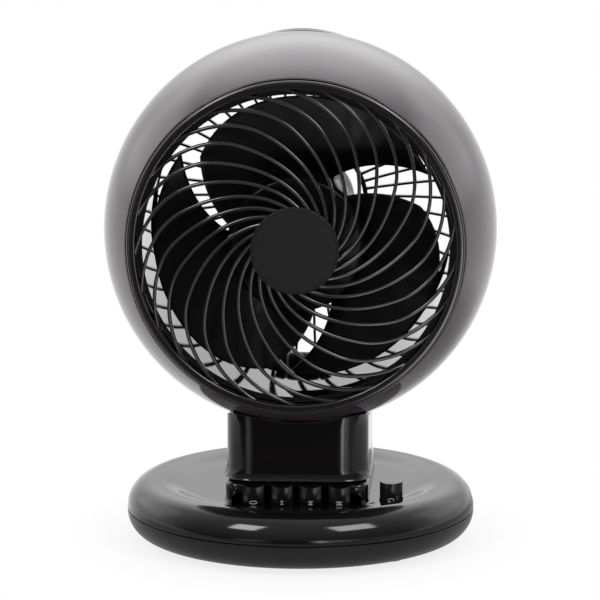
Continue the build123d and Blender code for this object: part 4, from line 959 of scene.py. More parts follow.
class FAN_OT_globe_rear(Operator):
    """Rear shell of the globe with the carrying handle and its finger pocket"""
    bl_idname = "fan.globe_rear"
    bl_label = "Globe rear"

    def execute(self, context):
        globe = given("globe")
        edge = rear_edge()
        lip = edge - REAR_LIP
        opening, bore = globe.rear_opening, globe.rear_opening - globe.rear_lip
        outline = seam_edge(1)[::-1] + skin(globe.split + globe.seam, edge - 0.0006, 30)
        outline += [(opening - 0.0002, edge - 0.00012), (opening - 0.0008, edge),
                    (bore + EDGE, edge), (bore, edge - EDGE), (bore, lip)]
        outline += skin(lip, globe.split, 20, globe.wall)
        piece = lathe("globe_rear", outline, head_place(), LARGE_ROUND, SHELL_SHARP)
        tub = pocket(given("handle").pocket_wall)
        inside = globe.radius - POCKET_BELOW
        ball = lathe("ball", [(0, -inside), *arc((0, 0), inside, -89, 89, 60), (0, inside)],
                     head_place(), SMALL_ROUND)
        combine(tub, ball, "INTERSECT")
        combine(piece, tub, "UNION", SHELL_SHARP)
        combine(piece, pocket(0), "DIFFERENCE", SHELL_SHARP)
        combine(piece, grip(), "UNION", SHELL_SHARP)
        combine(piece, hinge_slot(), "DIFFERENCE", SHELL_SHARP)
        dress(piece, "head", "gloss_shell", ["rear_shell"])
        return {"FINISHED"}


# ------------------------------------------------------------------ grilles and duct
class FAN_OT_front_grille(Operator):
    """Front grille: spiral ribs between a rounded ring and a hub plate"""
    bl_idname = "fan.front_grille"
    bl_label = "Front grille"

    def execute(self, context):
        grille = given("grille")
        place = head_place()
        seat = ring_seat()
        hub, outer = grille_hub(), grille.ring_radius
        inner = outer - grille.ring_band
        front = seat - grille.ring_depth
        into_hub, into_ring, proud, hub_round = 0.002, 0.0012, 0.0004, 0.0006
        ribs = rib_weave("grille_ribs", {
            "count": grille.ribs, "width": grille.width, "depth": grille.depth,
            "inner": grille.hub_radius - into_hub, "outer": inner + into_ring, "twist": grille.twist,
            "phase": grille.phase, "hook": grille.hook, "hook_start": grille.hook_start,
            "unit_radius": grille.disc_radius, "dome": grille.dome, "apex": hub - proud,
            "sense": 1.0, "flare": grille.flare}, place)
        dress(ribs, "head", "grille_black", ["front_grille"])
        ring = lathe("ring", round_corners([
            (inner, seat, EDGE), (outer, seat, FINE_EDGE), (outer, front, grille.ring_round),
            (inner, front, grille.ring_round * 0.6)], 6), place, LARGE_ROUND)
        hub_back = hub + grille.hub_plate
        plate = lathe("plate", round_corners([
            (0, hub, 0), (grille.hub_radius, hub, hub_round),
            (grille.hub_radius, hub_back, hub_round), (0, hub_back, 0)]), place, SMALL_ROUND)
        dress(join("grille_ring", [ring, plate]), "head", "grille_black", ["front_grille"])
        return {"FINISHED"}


class FAN_OT_hub_disc(Operator):
    """Disc on the grille's hub: bare, with a scalloped edge and a shallow groove"""
    bl_idname = "fan.hub_disc"
    bl_label = "Hub disc"

    def execute(self, context):
        grille = given("grille")
        radius = grille.disc_radius
        back = grille_hub()
        front = back - grille.disc_thickness
        groove, half, deep = radius * 0.945, 0.00025, 0.00018
        profile = [(0, back, 0), (radius - 0.0006, back, 1), (radius, back - 0.0006, 1),
                   (radius, front + 0.0008, 1), (radius - 0.0003, front + 0.0003, 1),
                   (radius - 0.0008, front, 0.6), (groove + half, front, 0),
                   (groove + 0.0001, front + deep, 0), (groove - 0.0001, front + deep, 0),
                   (groove - half, front, 0), (0, front, 0)]
        segments = grille.ribs * 12
        vertices = []
        for segment in range(segments):
            angle = 2 * math.pi * segment / segments
            drop_in = grille.disc_scallop * max(0.0, math.cos(grille.ribs * angle))**2
            for r, z, weight in profile:
                reach = r - drop_in * weight
                vertices.append((reach * math.cos(angle), reach * math.sin(angle), z))
        piece = make_piece("hub_disc", vertices, rings_to_faces(segments, len(profile)), head_place(),
                           weld=WELD)
        dress(piece, "head", "badge_black", ["grille_badge"])
        return {"FINISHED"}


class FAN_OT_duct(Operator):
    """Glossy duct round the blades, with a flare at its back edge"""
    bl_idname = "fan.duct"
    bl_label = "Duct"

    def execute(self, context):
        duct = given("duct")
        inner, outer = duct.inner, duct.inner + duct.wall
        front = ring_seat() + 0.0003
        start = duct.back - duct.flare
        lip_back = ring_seat() + LIP
        flange_back = lip_back + 0.002
        flange = globe_radius_at(lip_back, given("globe").wall) - 0.0006
        flare_in = [(inner + duct.flare / 2 * (1 - x), start + duct.flare * y)
                    for x, y in arc((0, 0), 1.0, 0, 90, 6)]
        outline = [(inner, front + (start - front) * step / 24) for step in range(24)]
        outline += flare_in + [(r + duct.wall, y) for r, y in reversed(flare_in)]
        outline += [(outer, flange_back), (flange, flange_back), (flange, lip_back),
                    (outer, lip_back), (outer, front)]
        piece = lathe("inner_duct_wall", outline, head_place(), LARGE_ROUND)
        dress(piece, "head", "gloss_shell", ["inner_duct"], "duct")
        return {"FINISHED"}


def rear_dome():
    """Radius of the rear grille's dome."""
    rear = given("rear")
    rise = rear.rise - rear.rim_height
    chord = rear.rim - RIBS_SHORT
    return (chord**2 + rise**2) / (2 * rise)


def rear_ring_back():
    rear = given("rear")
    dome = rear_dome()
    return rear_edge() + rear.rise - dome + math.sqrt(dome**2 - rear.inner_ring**2)


class FAN_OT_rear_grille(Operator):
    """Rear grille: straight ribs on a dome, a rim, and the plate that carries the motor"""
    bl_idname = "fan.rear_grille"
    bl_label = "Rear grille"

    def execute(self, context):
        rear, globe = given("rear"), given("globe")
        place = head_place()
        edge = rear_edge()
        rim_back = edge + rear.rim_height
        into_ring, ring_round = 0.0015, 0.0009
        ribs = rib_weave("rear_ribs", {
            "count": rear.ribs, "width": rear.width, "depth": rear.depth,
            "inner": rear.inner_ring - into_ring, "outer": rear.rim - RIBS_SHORT, "twist": 0.0,
            "phase": math.pi / rear.ribs, "hook": 0.0, "hook_start": rear.inner_ring,
            "unit_radius": rear.rim, "dome": rear_dome(), "apex": edge + rear.rise,
            "sense": -1.0, "flare": 0.25}, place, 20)
        dress(ribs, "head", "grille_black", ["rear_grille"])
        bore = globe.rear_opening - globe.rear_lip
        back = rear_ring_back()
        front = back - rear.depth - 0.001
        ring_bore = rear.inner_ring - rear.inner_wall
        plate_back = front + rear.plate_wall
        dip = plate_back - 0.0008
        dish = [(0, front, 0), (rear.plate, front, 0.0005), (rear.plate, plate_back, 0.001),
                (rear.plate - 0.0035, plate_back, EDGE), (rear.plate - 0.0042, dip, EDGE),
                (0.0105, dip, EDGE), (0.0098, plate_back, EDGE), (0, plate_back, 0)]
        pieces = [
            lathe("rim", round_corners([(bore, edge, FINE_EDGE), (rear.rim, edge, FINE_EDGE),
                                        (rear.rim, rim_back, 0.0012), (bore, rim_back, 0.0008)]),
                  place, LARGE_ROUND),
            lathe("ring", round_corners([
                (ring_bore, front, EDGE), (rear.inner_ring, front, EDGE),
                (rear.inner_ring, back, ring_round), (ring_bore, back, ring_round)]), place, SMALL_ROUND),
            lathe("plate", round_corners(dish, 3), place, SMALL_ROUND)]
        quarters = [45 + 90 * index for index in range(4)]
        for angle in quarters:
            arm = rectangle(rear.spoke_width / 2, rear.plate - 0.002, ring_bore + 0.001)
            spoke = prism("spoke", arm, front + 0.0002, plate_back - 0.0004,
                          place @ clock(angle))
            pieces.append(soften(spoke, 0.0005, 2))
        dress(join("rear_grille_frame", pieces), "head", "grille_black", ["rear_grille"])
        screws = screw_weave("carrier_screw_heads", rear.screw_circle,
                             [angle - 90 for angle in quarters],
                             place @ Matrix.Translation((0, 0, dip)))
        dress(screws, "head", "screw_steel", ["carrier_screws"])
        return {"FINISHED"}


# ------------------------------------------------------------------ blades
def blade_point(along, out):
    """Point of the first blade: along from its front edge to its back edge, out from hub to tip."""
    blade = given("blade")
    drop_share = abs(2 * along - 1)**5
    tip = blade.tip - (blade.corner if along < 0.5 else blade.back_corner) * drop_share
    root = blade.hub - BLADE_ROOT
    radius = root + (tip - root) * out
    angle = (blade.middle + math.radians(blade.sweep) * (radius - blade.sweep_radius)
             + blade.span * (along - 0.5))
    deep = blade_plane() + blade.depth * (along - 0.5) + blade.camber * (1 - (2 * along - 1)**2)
    return (radius * math.sin(angle), deep, radius * math.cos(angle))


class FAN_OT_blades(Operator):
    """Blade wheel: wide pitched blades on a ribbed hub"""
    bl_idname = "fan.blades"
    bl_label = "Blades"

    def execute(self, context):
        blade = given("blade")
        axis = Matrix.Translation((0, 0, given("globe").height))
        rows, columns = 56, 20
        spots = [blade_point(row / rows, column / columns)
                 for row in range(rows + 1) for column in range(columns + 1)]
        faces = rings_to_faces(rows + 1, columns + 1, closed_rings=False, closed_path=False)
        vane = make_piece("vane", spots, faces)
        thick = vane.modifiers.new("thickness", "SOLIDIFY")
        thick.thickness = blade.thickness
        thick.offset = 0.0
        settle(vane)
        soften(vane, blade.thickness * NEAR_HALF, 3, ROUNDED)
        pieces = []
        for index in range(blade.count):
            copy = bpy.data.objects.new("vane_copy", vane.data.copy())
            bpy.context.scene.collection.objects.link(copy)
            copy.data.transform(axis @ Matrix.Rotation(2 * math.pi * index / blade.count, 4, "Y"))
            pieces.append(copy)
        drop(vane)
        bore, wall, core, sleeve = 0.003, 0.002, 0.007, 0.003
        front = blade_plane() - blade.hub_depth / 2 - wall
        back = front + blade.hub_depth
        floor = front + 0.003
        hub = [(bore, front, 0), (blade.hub, front, 0.004), (blade.hub, back, EDGE),
               (blade.hub - wall, back, EDGE), (blade.hub - wall, floor, 0.002),
               (core, floor, 0.001), (core, back + sleeve, 0.0005), (bore, back + sleeve, 0)]
        pieces.append(lathe("hub", round_corners(hub, 4), head_place(), SMALL_ROUND))
        web = rectangle(0.0009, core - wall, blade.hub - wall / 2)
        for index in range(6):
            pieces.append(prism("web", web, front + wall, back - wall,
                                head_place() @ clock(60 * index)))
        dress(join("blade_wheel", pieces), "rotor", "blade_black", ["fan_blade"])
        return {"FINISHED"}


# ------------------------------------------------------------------ neck and base
def plan_loop(half_x, half_y, corner, side=7, steps=10):
    """Rounded rectangle, counter-clockwise from the middle of its right side."""
    quarter = [(half_x, (half_y - corner) * step / side) for step in range(side)]
    quarter += arc((half_x - corner, half_y - corner), corner, 0, 90, steps)
    quarter += [((half_x - corner) * (1 - step / side), half_y) for step in range(1, side)]
    upper = quarter + [(0.0, half_y)] + [(-x, y) for x, y in reversed(quarter)]
    lower = [(x, -y) for x, y in reversed(upper)][1:-1]
    return upper + lower


def globe_underside(x, y):
    """Height that the neck may reach below the globe, through the whole tilt."""
    neck, globe = given("neck"), given("globe")
    lift = globe.height - neck.tilt_height
    lowest = 1.0
    for step in range(4):
        lean = -neck.tilt * step / 3
        centre_y = neck.tilt_depth - neck.tilt_depth * math.cos(lean) - lift * math.sin(lean)
        centre_z = neck.tilt_height - neck.tilt_depth * math.sin(lean) + lift * math.cos(lean)
        reach = (globe.radius + neck.gap)**2 - x * x - (y - centre_y)**2
        if reach > 0:
            lowest = min(lowest, centre_z - math.sqrt(reach))
    return lowest


def neck_half(name, side):
    """Front (side -1) or rear (side 1) half of the neck, with its flared foot."""
    neck = given("neck")
    half_x, half_y = neck.width / 2, neck.depth / 2
    foot_top = neck.bottom + neck.foot
    # steps of the wall: out from the neck's plan, height, and share of the way up to the globe
    path = [(neck.spread - 0.0004, neck.bottom, 0), (neck.spread - 0.0001, neck.bottom + 0.0002, 0)]
    path += [(neck.spread * (1 - out), foot_top - neck.foot * fall, 0)
             for fall, out in arc((0, 0), 1.0, 9, 90, 9)]
    path += [(0, 0, rise) for rise in (0.2, 0.4, 0.6, 0.8, 0.97)]
    path += [(-0.00012, 0, 0.992), (-0.0004, 0, 1), (0.0003 - neck.wall, 0, 1),
             (-neck.wall, 0, 0.985), (-neck.wall, 0, 0.5), (-neck.wall, neck.bottom, 0)]
    vertices = []
    for out, z, rise in path:
        loop = plan_loop(half_x + out, half_y + out, neck.corner + out)
        half_loop = loop[:len(loop) // 2 + 1]
        for x, y in half_loop:
            climb = (globe_underside(x, side * y) - foot_top) * rise
            vertices.append((x, side * y, foot_top + climb if rise else z))
    size = len(half_loop)
    faces = rings_to_faces(len(path), size, closed_rings=False)
    for end in (0, size - 1):
        faces.append(tuple(index * size + end for index in range(len(path))))
    piece = make_piece(name, vertices, faces)
    dress(piece, "neck", "gloss_base", ["neck_front" if side < 0 else "neck_rear"])


class FAN_OT_neck(Operator):
    """Neck in two halves, on a flared foot, hollowed at the top for the globe"""
    bl_idname = "fan.neck"
    bl_label = "Neck"

    def execute(self, context):
        neck_half("neck_front_half", -1)
        neck_half("neck_rear_half", 1)
        return {"FINISHED"}


def curve_points(first, second, third, last, steps):
    """Points of a cubic curve after its first point."""
    points = []
    for step in range(1, steps + 1):
        t = step / steps
        s = 1 - t
        points.append(tuple(s**3 * a + 3 * s * s * t * b + 3 * s * t * t * c + t**3 * d
                            for a, b, c, d in zip(first, second, third, last)))
    return points


def cover_slope(inset):
    """From the dish up to the crest and over the rim to the seam, inset from the outer face."""
    base = given("base")
    crest_r = base.radius - base.rim
    ease = 2.6      # with less of it, the slope is flatter at both ends and steeper between
    pull = (crest_r - base.dish) / ease
    low, high = base.dish_height - inset, base.crest - inset
    start, crest = (base.dish, low), (crest_r, high)
    points = [start]
    points += curve_points(start, (base.dish + pull, low), (crest_r - pull, high), crest, 14)
    points += arc((crest_r, base.crest - base.rim), base.rim - inset, 90, 0, 16)[1:]
    return points


def swing_key_outline(grow):
    """D-shaped plan of the swing key, round towards the front."""
    key = given("key")
    half, back = key.swing_width / 2 + grow, key.swing_depth / 2 + grow
    shoulder = -key.swing_depth / 2 + SWING_SHOULDER
    outline = [(half, back), (-half, back)] + bow_points(half, shoulder + back, -back, 16)
    return [(x + key.swing_x, y + key.swing_y) for x, y in outline]


def bow_radius(half, rise):
    """Radius of the arc that rises so far over a chord of so much to each side."""
    return (half * half + rise * rise) / (2 * rise)


def bow_points(half, rise, lowest, steps):
    """Arc through its lowest point at the middle, rising to both ends of its chord."""
    radius = bow_radius(half, rise)
    spread = math.degrees(math.asin(half / radius))
    return arc((0, lowest + radius), radius, 270 - spread, 270 + spread, steps)


def key_well():
    """The keys' well: ends that the block closes over, and the opening above the row of keys."""
    key, base = given("key"), given("base")
    end = (key.well_back - key.well_front) / 2
    middle = (key.well_back + key.well_front) / 2
    straight, curl = key.well_half - end, key.well_end_round
    section = [(end, base.seam)] + [(end - curl + out, z) for out, z in
                                    arc((0, key.well_end_top - curl), curl, 0, 90, 8)]
    vertices = []
    for radius, z in section:
        loop = (arc((straight, middle), radius, -90, 90, 24)
                + arc((-straight, middle), radius, 90, 270, 24))
        vertices += [(x, y, z) for x, y in loop]
    count, size = len(section), len(loop)
    faces = rings_to_faces(count, size, closed_path=False)
    faces += [tuple(range(size)), tuple(range(size * (count - 1), size * count))]
    ends = make_piece("well_ends", vertices, faces)
    spread = math.degrees(math.asin(key.well_row / key.well_arc))
    opening = [(key.well_row, key.well_back), (-key.well_row, key.well_back)]
    opening += arc((0, 0), key.well_arc, 270 - spread, 270 + spread, 20)
    return ends, prism("well_opening", opening, base.seam, base.pod_height + 0.001)


def broken_edge(radius, height, side):
    """Small rounding from a wall to a face at a height; side is 1 where the wall is above it."""
    return [(radius, height + side * FINE_EDGE), (radius - 0.0001, height + side * 0.00008),
            (radius - FINE_EDGE, height)]


class FAN_OT_base_cover(Operator):
    """Base cover: rounded rim and crest, shallow dish, raised block with the keys' well"""
    bl_idname = "fan.base_cover"
    bl_label = "Base cover"

    def execute(self, context):
        base = given("base")
        half_x, half_y, corner = base.pod_width / 2, base.pod_depth / 2, base.pod_corner
        spokes = [Vector(spot).normalized() for spot in plan_loop(half_x, half_y, corner)]
        rings = []

        def ring(out, radius, part, z):
            """Loop that goes from the block's plan, let out, at part 0 to a circle at part 1."""
            loop = plan_loop(half_x + out, half_y + out, corner + out)
            rings.append([((1 - part) * x + part * radius * spoke.x,
                           (1 - part) * y + part * radius * spoke.y, z)
                          for (x, y), spoke in zip(loop, spokes)])

        def round_rings(path):
            for radius, z in path:
                ring(0, radius, 1, z)

        edge, top, wall = base.pod_edge, base.pod_height, base.wall
        for part in (1, 0.7, 0.35):
            ring(-edge, base.bush, part, top)
        for out, z in (arc((-edge, top - edge), edge, 90, 0, 7)
                       + arc((edge, base.dish_height + edge), edge, 180, 270, 7)):
            ring(out, 0, 0, z)
        ring(edge, base.dish, 0.5, base.dish_height)
        round_rings(cover_slope(0))
        round_rings(broken_edge(base.radius, base.seam, 1) + [(base.radius - wall, base.seam)])
        round_rings(reversed(cover_slope(wall)))
        under, ceiling = base.dish_height - wall, top - base.pod_wall
        ring(-wall, base.dish, 0.5, under)
        ring(-wall, 0, 0, under)
        ring(-wall, 0, 0, ceiling)
        ring(-wall, base.bush, 0.5, ceiling)
        ring(-wall, base.bush, 1, ceiling)
        vertices = [point for loop in rings for point in loop]
        cover = make_piece("base_cover_shell", vertices, rings_to_faces(len(rings), len(spokes)))
        swing_hole = prism("hole", swing_key_outline(given("key").gap), base.seam, top + 0.004)
        for hollow in (*key_well(), swing_hole):
            combine(cover, hollow, "DIFFERENCE")
        dress(cover, "base", "gloss_base", ["base_cover"])
        return {"FINISHED"}


def plug(name, radius, low, high, place, segments):
    """Round bar between two heights."""
    return lathe(name, [(0, low), (radius, low), (radius, high), (0, high)], place, segments)


class FAN_OT_base_tray(Operator):
    """Base tray below the seam, with its screw wells and the seat of the inlet"""
    bl_idname = "fan.base_tray"
    bl_label = "Base tray"

    def execute(self, context):
        base = given("base")
        edge, low, bend, wall = base.radius, base.tray_bottom, base.tray_round, base.wall
        floor = low + wall
        rise = base.seam - base.groove
        spigot, stand = edge - wall - FINE_EDGE, 0.002
        centre = (edge - bend, low + bend)
        outline = [(0, low), (edge - bend - 0.02, low)] + arc(centre, bend, 270, 360, 18)
        outline += broken_edge(edge, rise, -1)
        outline += [(spigot, rise), (spigot, rise + stand), (spigot - wall, rise + stand),
                    (edge - wall - 0.0026, low + bend)]
        outline += arc(centre, bend - wall, 0, -90, 12) + [(0, floor)]
        tray = lathe("base_tray_shell", outline, None, 224)
        boss_radius, boss_height, well_radius, well_top = 0.0058, 0.004, 0.0033, floor + 0.002
        for index in range(4):
            place = Matrix.Rotation(index * math.pi / 2, 4, "Z")
            place @= Matrix.Translation((0, base.screw_circle, 0))
            combine(tray, plug("boss", boss_radius, floor - 0.001, floor + boss_height, place, 48),
                    "UNION")
            combine(tray, plug("well", well_radius, -0.001, well_top, place, 48), "DIFFERENCE")
        inlet = Matrix.Translation((0, 0, base.inlet_height)) @ LAY_BACK
        flange_deep, cord_radius, cord_deep, clear = 0.00185, 0.0044, 0.02, edge + 0.005
        for radius, deep in ((base.inlet_radius, flange_deep), (cord_radius, cord_deep)):
            combine(tray, plug("hole", radius, edge - deep, clear, inlet, 64), "DIFFERENCE")
        dress(tray, "base", "tray_black", ["base_tray"])
        screws = screw_weave("base_screw_heads", base.screw_circle, [0, 90, 180, 270],
                             Matrix.Translation((0, 0, well_top)) @ Matrix.Rotation(math.pi, 4, "X"))
        dress(screws, "base", "screw_steel", ["base_screws"])
        return {"FINISHED"}


# ------------------------------------------------------------------ keys and their markings
# press keys in their row, from left to right
KEY_NODES = ("off_key", "speed_1_key", "speed_2_key", "speed_3_key")


def key_place(index):
    return (index - (len(KEY_NODES) - 1) / 2) * given("key").pitch


def finger_hollow(width, dip, x, top):
    """Shallow trough across the top of a key, from its front to its back."""
    half, clear = width / 2 + 0.0002, top + 0.002
    back, front = 0.02, 0.08        # the trough's ends, this far in front of the swivel
    trough = bow_points(half, dip, top - dip, 16) + [(half, clear), (-half, clear)]
    across = Matrix(((1, 0, 0, x), (0, 0, -1, 0), (0, 1, 0, 0), (0, 0, 0, 1)))
    return prism("hollow", trough, back, front, across)


def key_body(node, outline, top, width, dip, x, y):
    """Cap of a key, with its hollow and its rounded edges, on the stem that works its switch."""
    key = given("key")
    cap = prism("cap", outline, key.bottom, top)
    combine(cap, finger_hollow(width, dip, x, top), "DIFFERENCE")
    soften(cap, key.edge, 4, ROUNDED)
    half_x, half_y, reach, root = 0.003, 0.002, 0.0106, 0.001
    stem = box_piece("stem", (x - half_x, y - half_y, key.bottom - reach),
                     (x + half_x, y + half_y, key.bottom + root))
    dress(join(node + "_body", [cap, stem]), node, "key_black", [node])


class FAN_OT_keys(Operator):
    """Press keys: four speed keys in their well and the swing key at the right"""
    bl_idname = "fan.keys"
    bl_label = "Keys"

    def execute(self, context):
        key = given("key")
        half, back = key.width / 2, key.front + key.depth
        bow = bow_points(half, key.bulge, key.front, 14)
        outline = round_corners([(half, back, 0.0007), (-half, back, 0.0007)]
                                + [(x, y, 0.0005 if end in (0, 14) else 0)
                                   for end, (x, y) in enumerate(bow)], 4)
        for index, node in enumerate(KEY_NODES):
            x = key_place(index)
            key_body(node, [(x + px, py) for px, py in outline], key.top, key.width, key.dip, x,
                     key.front + key.depth / 2)
        key_body("oscillation_key", swing_key_outline(0), key.swing_top, key.swing_width,
                 key.swing_dip, key.swing_x, key.swing_y)
        return {"FINISHED"}


def ribbon(name, strokes, front_of):
    """Painted strokes, each a list of (x, z) points, laid on a bowed front face."""
    vertices, faces = [], []
    for stroke, closed in strokes:
        count, start = len(stroke), len(vertices)
        for index, (x, z) in enumerate(stroke):
            back = Vector(stroke[index - 1] if index or closed else stroke[index])
            ahead = Vector(stroke[(index + 1) % count] if index < count - 1 or closed else stroke[index])
            heading = (ahead - back).normalized()
            across = Vector((-heading.y, heading.x)) * given("key").mark_stroke / 2
            for side, lift in ((-1, -MARK_ROOT), (-1, MARK_LIFT), (1, MARK_LIFT), (1, -MARK_ROOT)):
                px, pz = x + side * across.x, z + side * across.y
                vertices.append((px, front_of(px) - lift, pz))
        faces += [tuple(start + corner for corner in face)
                  for face in rings_to_faces(count, 4, closed_path=closed)]
        if not closed:
            faces += [tuple(range(end, end + 4)) for end in (start, start + 4 * (count - 1))]
    return make_piece(name, vertices, faces)


class FAN_OT_markings(Operator):
    """Pale markings on the keys: O, I, II, III, and two arcs for the swing"""
    bl_idname = "fan.markings"
    bl_label = "Markings"

    def execute(self, context):
        key = given("key")
        low, high, reach = key.mark_low, key.mark_low + key.mark_size, key.mark_size / 2
        middle = low + reach

        def paint(node, strokes, x, half, rise, front):
            """Strokes on a front face that is bowed over its half width."""
            bow = bow_radius(half, rise)
            marks = ribbon(node + "_marking", strokes,
                           lambda px: front + bow - math.sqrt(bow**2 - (px - x)**2))
            dress(marks, node, "key_black", (), "marking")

        for index, node in enumerate(KEY_NODES):
            x = key_place(index)
            if index == 0:
                half = (key.mark_round - key.mark_stroke) / 2
                strokes = [([(x + px * half, middle + pz * reach)
                             for px, pz in arc((0, 0), 1.0, 0, 345, 23)], True)]
            else:
                first = x - key.mark_pitch * (index - 1) / 2
                serif = key.mark_pitch * (index + 1) / 2
                strokes = [([(first + key.mark_pitch * bar, low + key.mark_size * step / 4)
                             for step in range(5)], False) for bar in range(index)]
                strokes += [([(x - serif + serif * step / 3, level) for step in range(7)], False)
                            for level in (low, high)]
            paint(node, strokes, x, key.width / 2, key.bulge, key.front)
        swing = [([(key.swing_x + px * key.mark_round * 0.42, middle + pz * reach)
                   for px, pz in arc((0, 0), 1.0, first, first + 145, 12)], False)
                 for first in (18, 198)]
        paint("oscillation_key", swing, key.swing_x, key.swing_width / 2, SWING_SHOULDER,
              key.swing_y - key.swing_depth / 2)
        return {"FINISHED"}


# ------------------------------------------------------------------ pieces that stay as they are
class FAN_OT_carried_parts(Operator):
    """Finishes for the frame's own pieces that are shown as they are"""
    bl_idname = "fan.carried_parts"
    bl_label = "Carried parts"

    def execute(self, context):
        for part in frame["record"]["subparts"]:
            piece = frame["nodes"][part["node"]]
            if piece.hide_render:
                continue
            material = finish(part["material_slot"])
            if not piece.material_slots:
                piece.data.materials.append(material)
            for slot in piece.material_slots:
                slot.material = material
        return {"FINISHED"}


# ------------------------------------------------------------------ stage
# lamps: place, size, the brightness in Studio that they share in, their share, soft part of a side
LAMPS = {
    "back_panel": ((0, 1.40, 1.50), (3.6, 3.0), "back_panel", 1.0, 0.42),
    "left_panel": ((-1.6, 1.0, 0.9), (2.0, 1.6), "side_panels", 1.0, 0.3),
    "right_panel": ((1.6, 1.0, 0.9), (2.0, 1.6), "side_panels", 1.0, 0.3),
    "soft_box_left": ((-0.92, -1.07, 1.42), (0.66, 0.80), "front_boxes", 1.0, 0.15),
    "soft_box_right": ((0.98, -1.01, 1.42), (0.96, 0.80), "front_boxes", 0.8, 0.15),
}
LAMPS_AIM = (0, 0, 0.15)
FLOOR_RADIUS, FLOOR_THICKNESS = 7.0, 0.002
# painted reflections: glowing patches on the floor in front, seen only in reflections, in place of lamps
# that are not there, as the neck reflects them: middle and half width in degrees, strength
PAINTED_FLOOR_GLOWS = ((-27.0, 20.0, 0.8), (14.0, 9.0, 3.5), (24.0, 24.0, 1.2), (50.0, 50.0, 0.3))
# painted reflections: in reflections alone the floor is dark in front, keeping a share of its white, and
# dimmer at the sides
PAINTED_GLOW_LEAST = 0.05             # share of its white that the dark floor keeps
PAINTED_GLOW_REACH = (0.20, 0.30)     # the glow sets in between these distances from the middle
SHADOW_CORE = 0.55                  # share of the shadow's reach over which it doesn't fade
PAINTED_DARK_EDGE = (-0.04, 0.06)           # start and end of the dark floor's soft edge
SIDES_MIDDLE = 0.4                  # heading, in radians, about which the dimmed sides are even
SIDES_TURN = (math.radians(100), math.radians(150))     # their dimming fades over these turns
SIDES_REACH = (0.20, 0.55)          # and between these distances from the middle
AIR_DARK = (-0.45, 0.35)            # reflections of the air darken between these forward parts
AIR_LOSS, AIR_LIFT = 0.85, 0.42     # by so much at the horizon, and by so much less at the zenith


def studio_lamp(name, place, size, brightness, soft):
    """Panel of light of a brightness, 1 for white, that falls off over a soft share of its size."""
    data = bpy.data.lights.new(name, "AREA")
    data.shape = "RECTANGLE"
    data.size, data.size_y = size
    data.energy = math.pi * size[0] * size[1] * brightness
    data.use_nodes = True
    nodes = Nodes(data.node_tree)
    spot = nodes.wire("NewGeometry", "Parametric")
    fade = 1.0
    for axis in ("X", "Y"):
        fade = nodes.ramp(0.5 - nodes.maths("ABSOLUTE", spot.part(axis) - 0.5), 0.0, soft) * fade
    nodes.node("OutputLight", {"Surface": nodes.white(fade)})
    lamp = bpy.data.objects.new(name, data)
    bpy.context.scene.collection.objects.link(lamp)
    lamp.location = place
    lamp.rotation_euler = (Vector(LAMPS_AIM) - Vector(place)).to_track_quat("-Z", "Y").to_euler()
    lamp.visible_camera = False


def seen(nodes):
    """Rays of reflections, and rays that show the background at all."""
    path = nodes.node("LightPath").outputs
    camera, glossy, through = (Wire(nodes, path[f"Is {kind} Ray"])
                               for kind in ("Camera", "Glossy", "Transmission"))
    return glossy, (camera + glossy + through).clamp()


def studio_floor(studio):
    """White floor that shows a little of its own shading at the object; in reflections alone it is
    painted dark in front and dimmer at the sides, with glowing patches in place of lamps.
    """
    material = bpy.data.materials.new("studio_floor")
    material.use_nodes = True
    nodes = Nodes(material.node_tree)
    glossy, shown = seen(nodes)
    place = nodes.wire("TexCoord", "Object")
    forward = place.part("Y") * -1.0
    reach = nodes.wire("VectorMath", "Value", {0: place}, operation="LENGTH")
    heading = nodes.maths("ARCTAN2", place.part("X"), forward)
    near = 1.0 - nodes.ramp(reach, studio.shadow_reach * SHADOW_CORE, studio.shadow_reach)
    # painted reflections: for glossy rays only, the floor turns dark in front and dimmer at the sides,
    # and glows in patches where lamps would stand
    behind = 1.0 - nodes.ramp(forward, *(studio.dark_front + step for step in PAINTED_DARK_EDGE))
    far = nodes.ramp(reach, *PAINTED_GLOW_REACH)
    painted_glows = PAINTED_GLOW_LEAST
    for middle, width, glow in PAINTED_FLOOR_GLOWS:
        swing = nodes.maths("ABSOLUTE", heading - math.radians(middle))
        painted_glows = painted_glows + far * (1.0 - nodes.ramp(swing, 0.0, math.radians(width))) ** 2.0 * glow
    swing = nodes.maths("ABSOLUTE", heading - SIDES_MIDDLE)
    beside = (1.0 - nodes.ramp(swing, *SIDES_TURN)) * (1.0 - nodes.ramp(reach, *SIDES_REACH))
    dim = (1.0 - behind) * (1.0 - painted_glows) + behind * beside * studio.dim_sides
    lit = nodes.wire("BsdfDiffuse", 0, {"Color": studio.floor})
    mixed = nodes.wire("MixShader", 0, {0: shown * (1.0 - near * studio.shadow), 1: lit,
                                        2: nodes.white(1.0 - glossy * dim)})
    nodes.node("OutputMaterial", {"Surface": mixed})
    return material


def studio_air(studio):
    """World that is white to the camera, darker in reflections from the front, and dim as light."""
    world = bpy.data.worlds.new("studio_air")
    world.use_nodes = True
    nodes = Nodes(world.node_tree)
    glossy, shown = seen(nodes)
    way = nodes.wire("TexCoord", "Generated")
    front = nodes.ramp(way.part("Y") * -1.0, *AIR_DARK)
    reflected = 1.0 - glossy * front * (AIR_LOSS - way.part("Z").clamp() * AIR_LIFT)
    strength = shown * reflected + (1.0 - shown) * studio.ambient
    air = nodes.wire("Background", 0, {"Color": (1.0, 1.0, 1.0), "Strength": strength})
    nodes.node("OutputWorld", {"Surface": air})
    return world


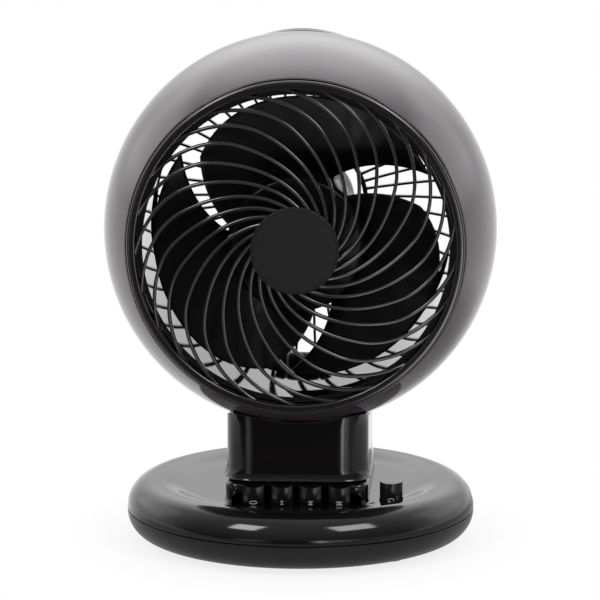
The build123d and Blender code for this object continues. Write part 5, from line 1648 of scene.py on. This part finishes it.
def studio_camera(studio):
    """Camera that stands at its azimuth and elevation round the target, and looks at it."""
    side, lift = studio.azimuth, studio.elevation
    data = bpy.data.cameras.new("camera")
    data.sensor_width = 36.0
    data.lens = studio.focal
    camera = bpy.data.objects.new("camera", data)
    bpy.context.scene.collection.objects.link(camera)
    target = Vector((studio.aside, 0, studio.target))
    camera.location = target + studio.distance * Vector((
        math.sin(side) * math.cos(lift), -math.cos(side) * math.cos(lift), math.sin(lift)))
    camera.rotation_euler = (target - camera.location).to_track_quat("-Z", "Y").to_euler()
    return camera


class FAN_OT_stage(Operator):
    """Floor, soft studio light and the camera"""
    bl_idname = "fan.stage"
    bl_label = "Stage"

    def execute(self, context):
        studio = given("studio")
        circle = arc((0, 0), FLOOR_RADIUS, 0, 352.5, 47)
        floor = prism("floor", circle, -FLOOR_THICKNESS, 0.0)
        floor.data.materials.append(studio_floor(studio))
        context.scene.world = studio_air(studio)
        context.scene.view_settings.view_transform = "Standard"
        for name, (place, size, group, part, soft) in LAMPS.items():
            studio_lamp(name, place, size, getattr(studio, group) * part, soft)
        context.scene.camera = studio_camera(studio)
        return {"FINISHED"}


# ------------------------------------------------------------------ panel and start
PIECES = (FAN_OT_globe_front, FAN_OT_globe_rear, FAN_OT_front_grille, FAN_OT_hub_disc, FAN_OT_duct,
          FAN_OT_rear_grille, FAN_OT_blades, FAN_OT_neck, FAN_OT_base_cover, FAN_OT_base_tray,
          FAN_OT_keys, FAN_OT_markings, FAN_OT_carried_parts, FAN_OT_stage)


class FAN_PT_circulator(Panel):
    """Lists the pieces of the air circulator and the sizes they are made from"""
    bl_idname = "FAN_PT_circulator"
    bl_label = "Air circulator"
    bl_space_type = "VIEW_3D"
    bl_region_type = "UI"
    bl_category = "Circulator"

    def draw(self, context):
        layout = self.layout
        for piece in PIECES:
            layout.operator(piece.bl_idname)
        for name, group in SIZE_GROUPS.items():
            box = layout.box()
            box.label(text=group.__name__)
            for key in group.__annotations__:
                box.prop(given(name), key)


def register():
    """Name each property after its attribute, then register all classes and the scene's groups."""
    for group in SIZE_GROUPS.values():
        for key, prop in group.__annotations__.items():
            prop.keywords["name"] = key.replace("_", " ").capitalize()
        bpy.utils.register_class(group)
    for piece in PIECES + (FAN_PT_circulator,):
        bpy.utils.register_class(piece)
    for name, group in SIZE_GROUPS.items():
        setattr(bpy.types.Scene, GROUP_PREFIX + name, PointerProperty(type=group))


def unregister():
    for name in SIZE_GROUPS:
        delattr(bpy.types.Scene, GROUP_PREFIX + name)
    for piece in reversed(PIECES + (FAN_PT_circulator,)):
        bpy.utils.unregister_class(piece)
    for group in reversed(SIZE_GROUPS.values()):
        bpy.utils.unregister_class(group)


def main():
    register()
    for piece in PIECES:
        family, name = piece.bl_idname.split(".")
        getattr(getattr(bpy.ops, family), name)()


if __name__ == "__main__":
    main()
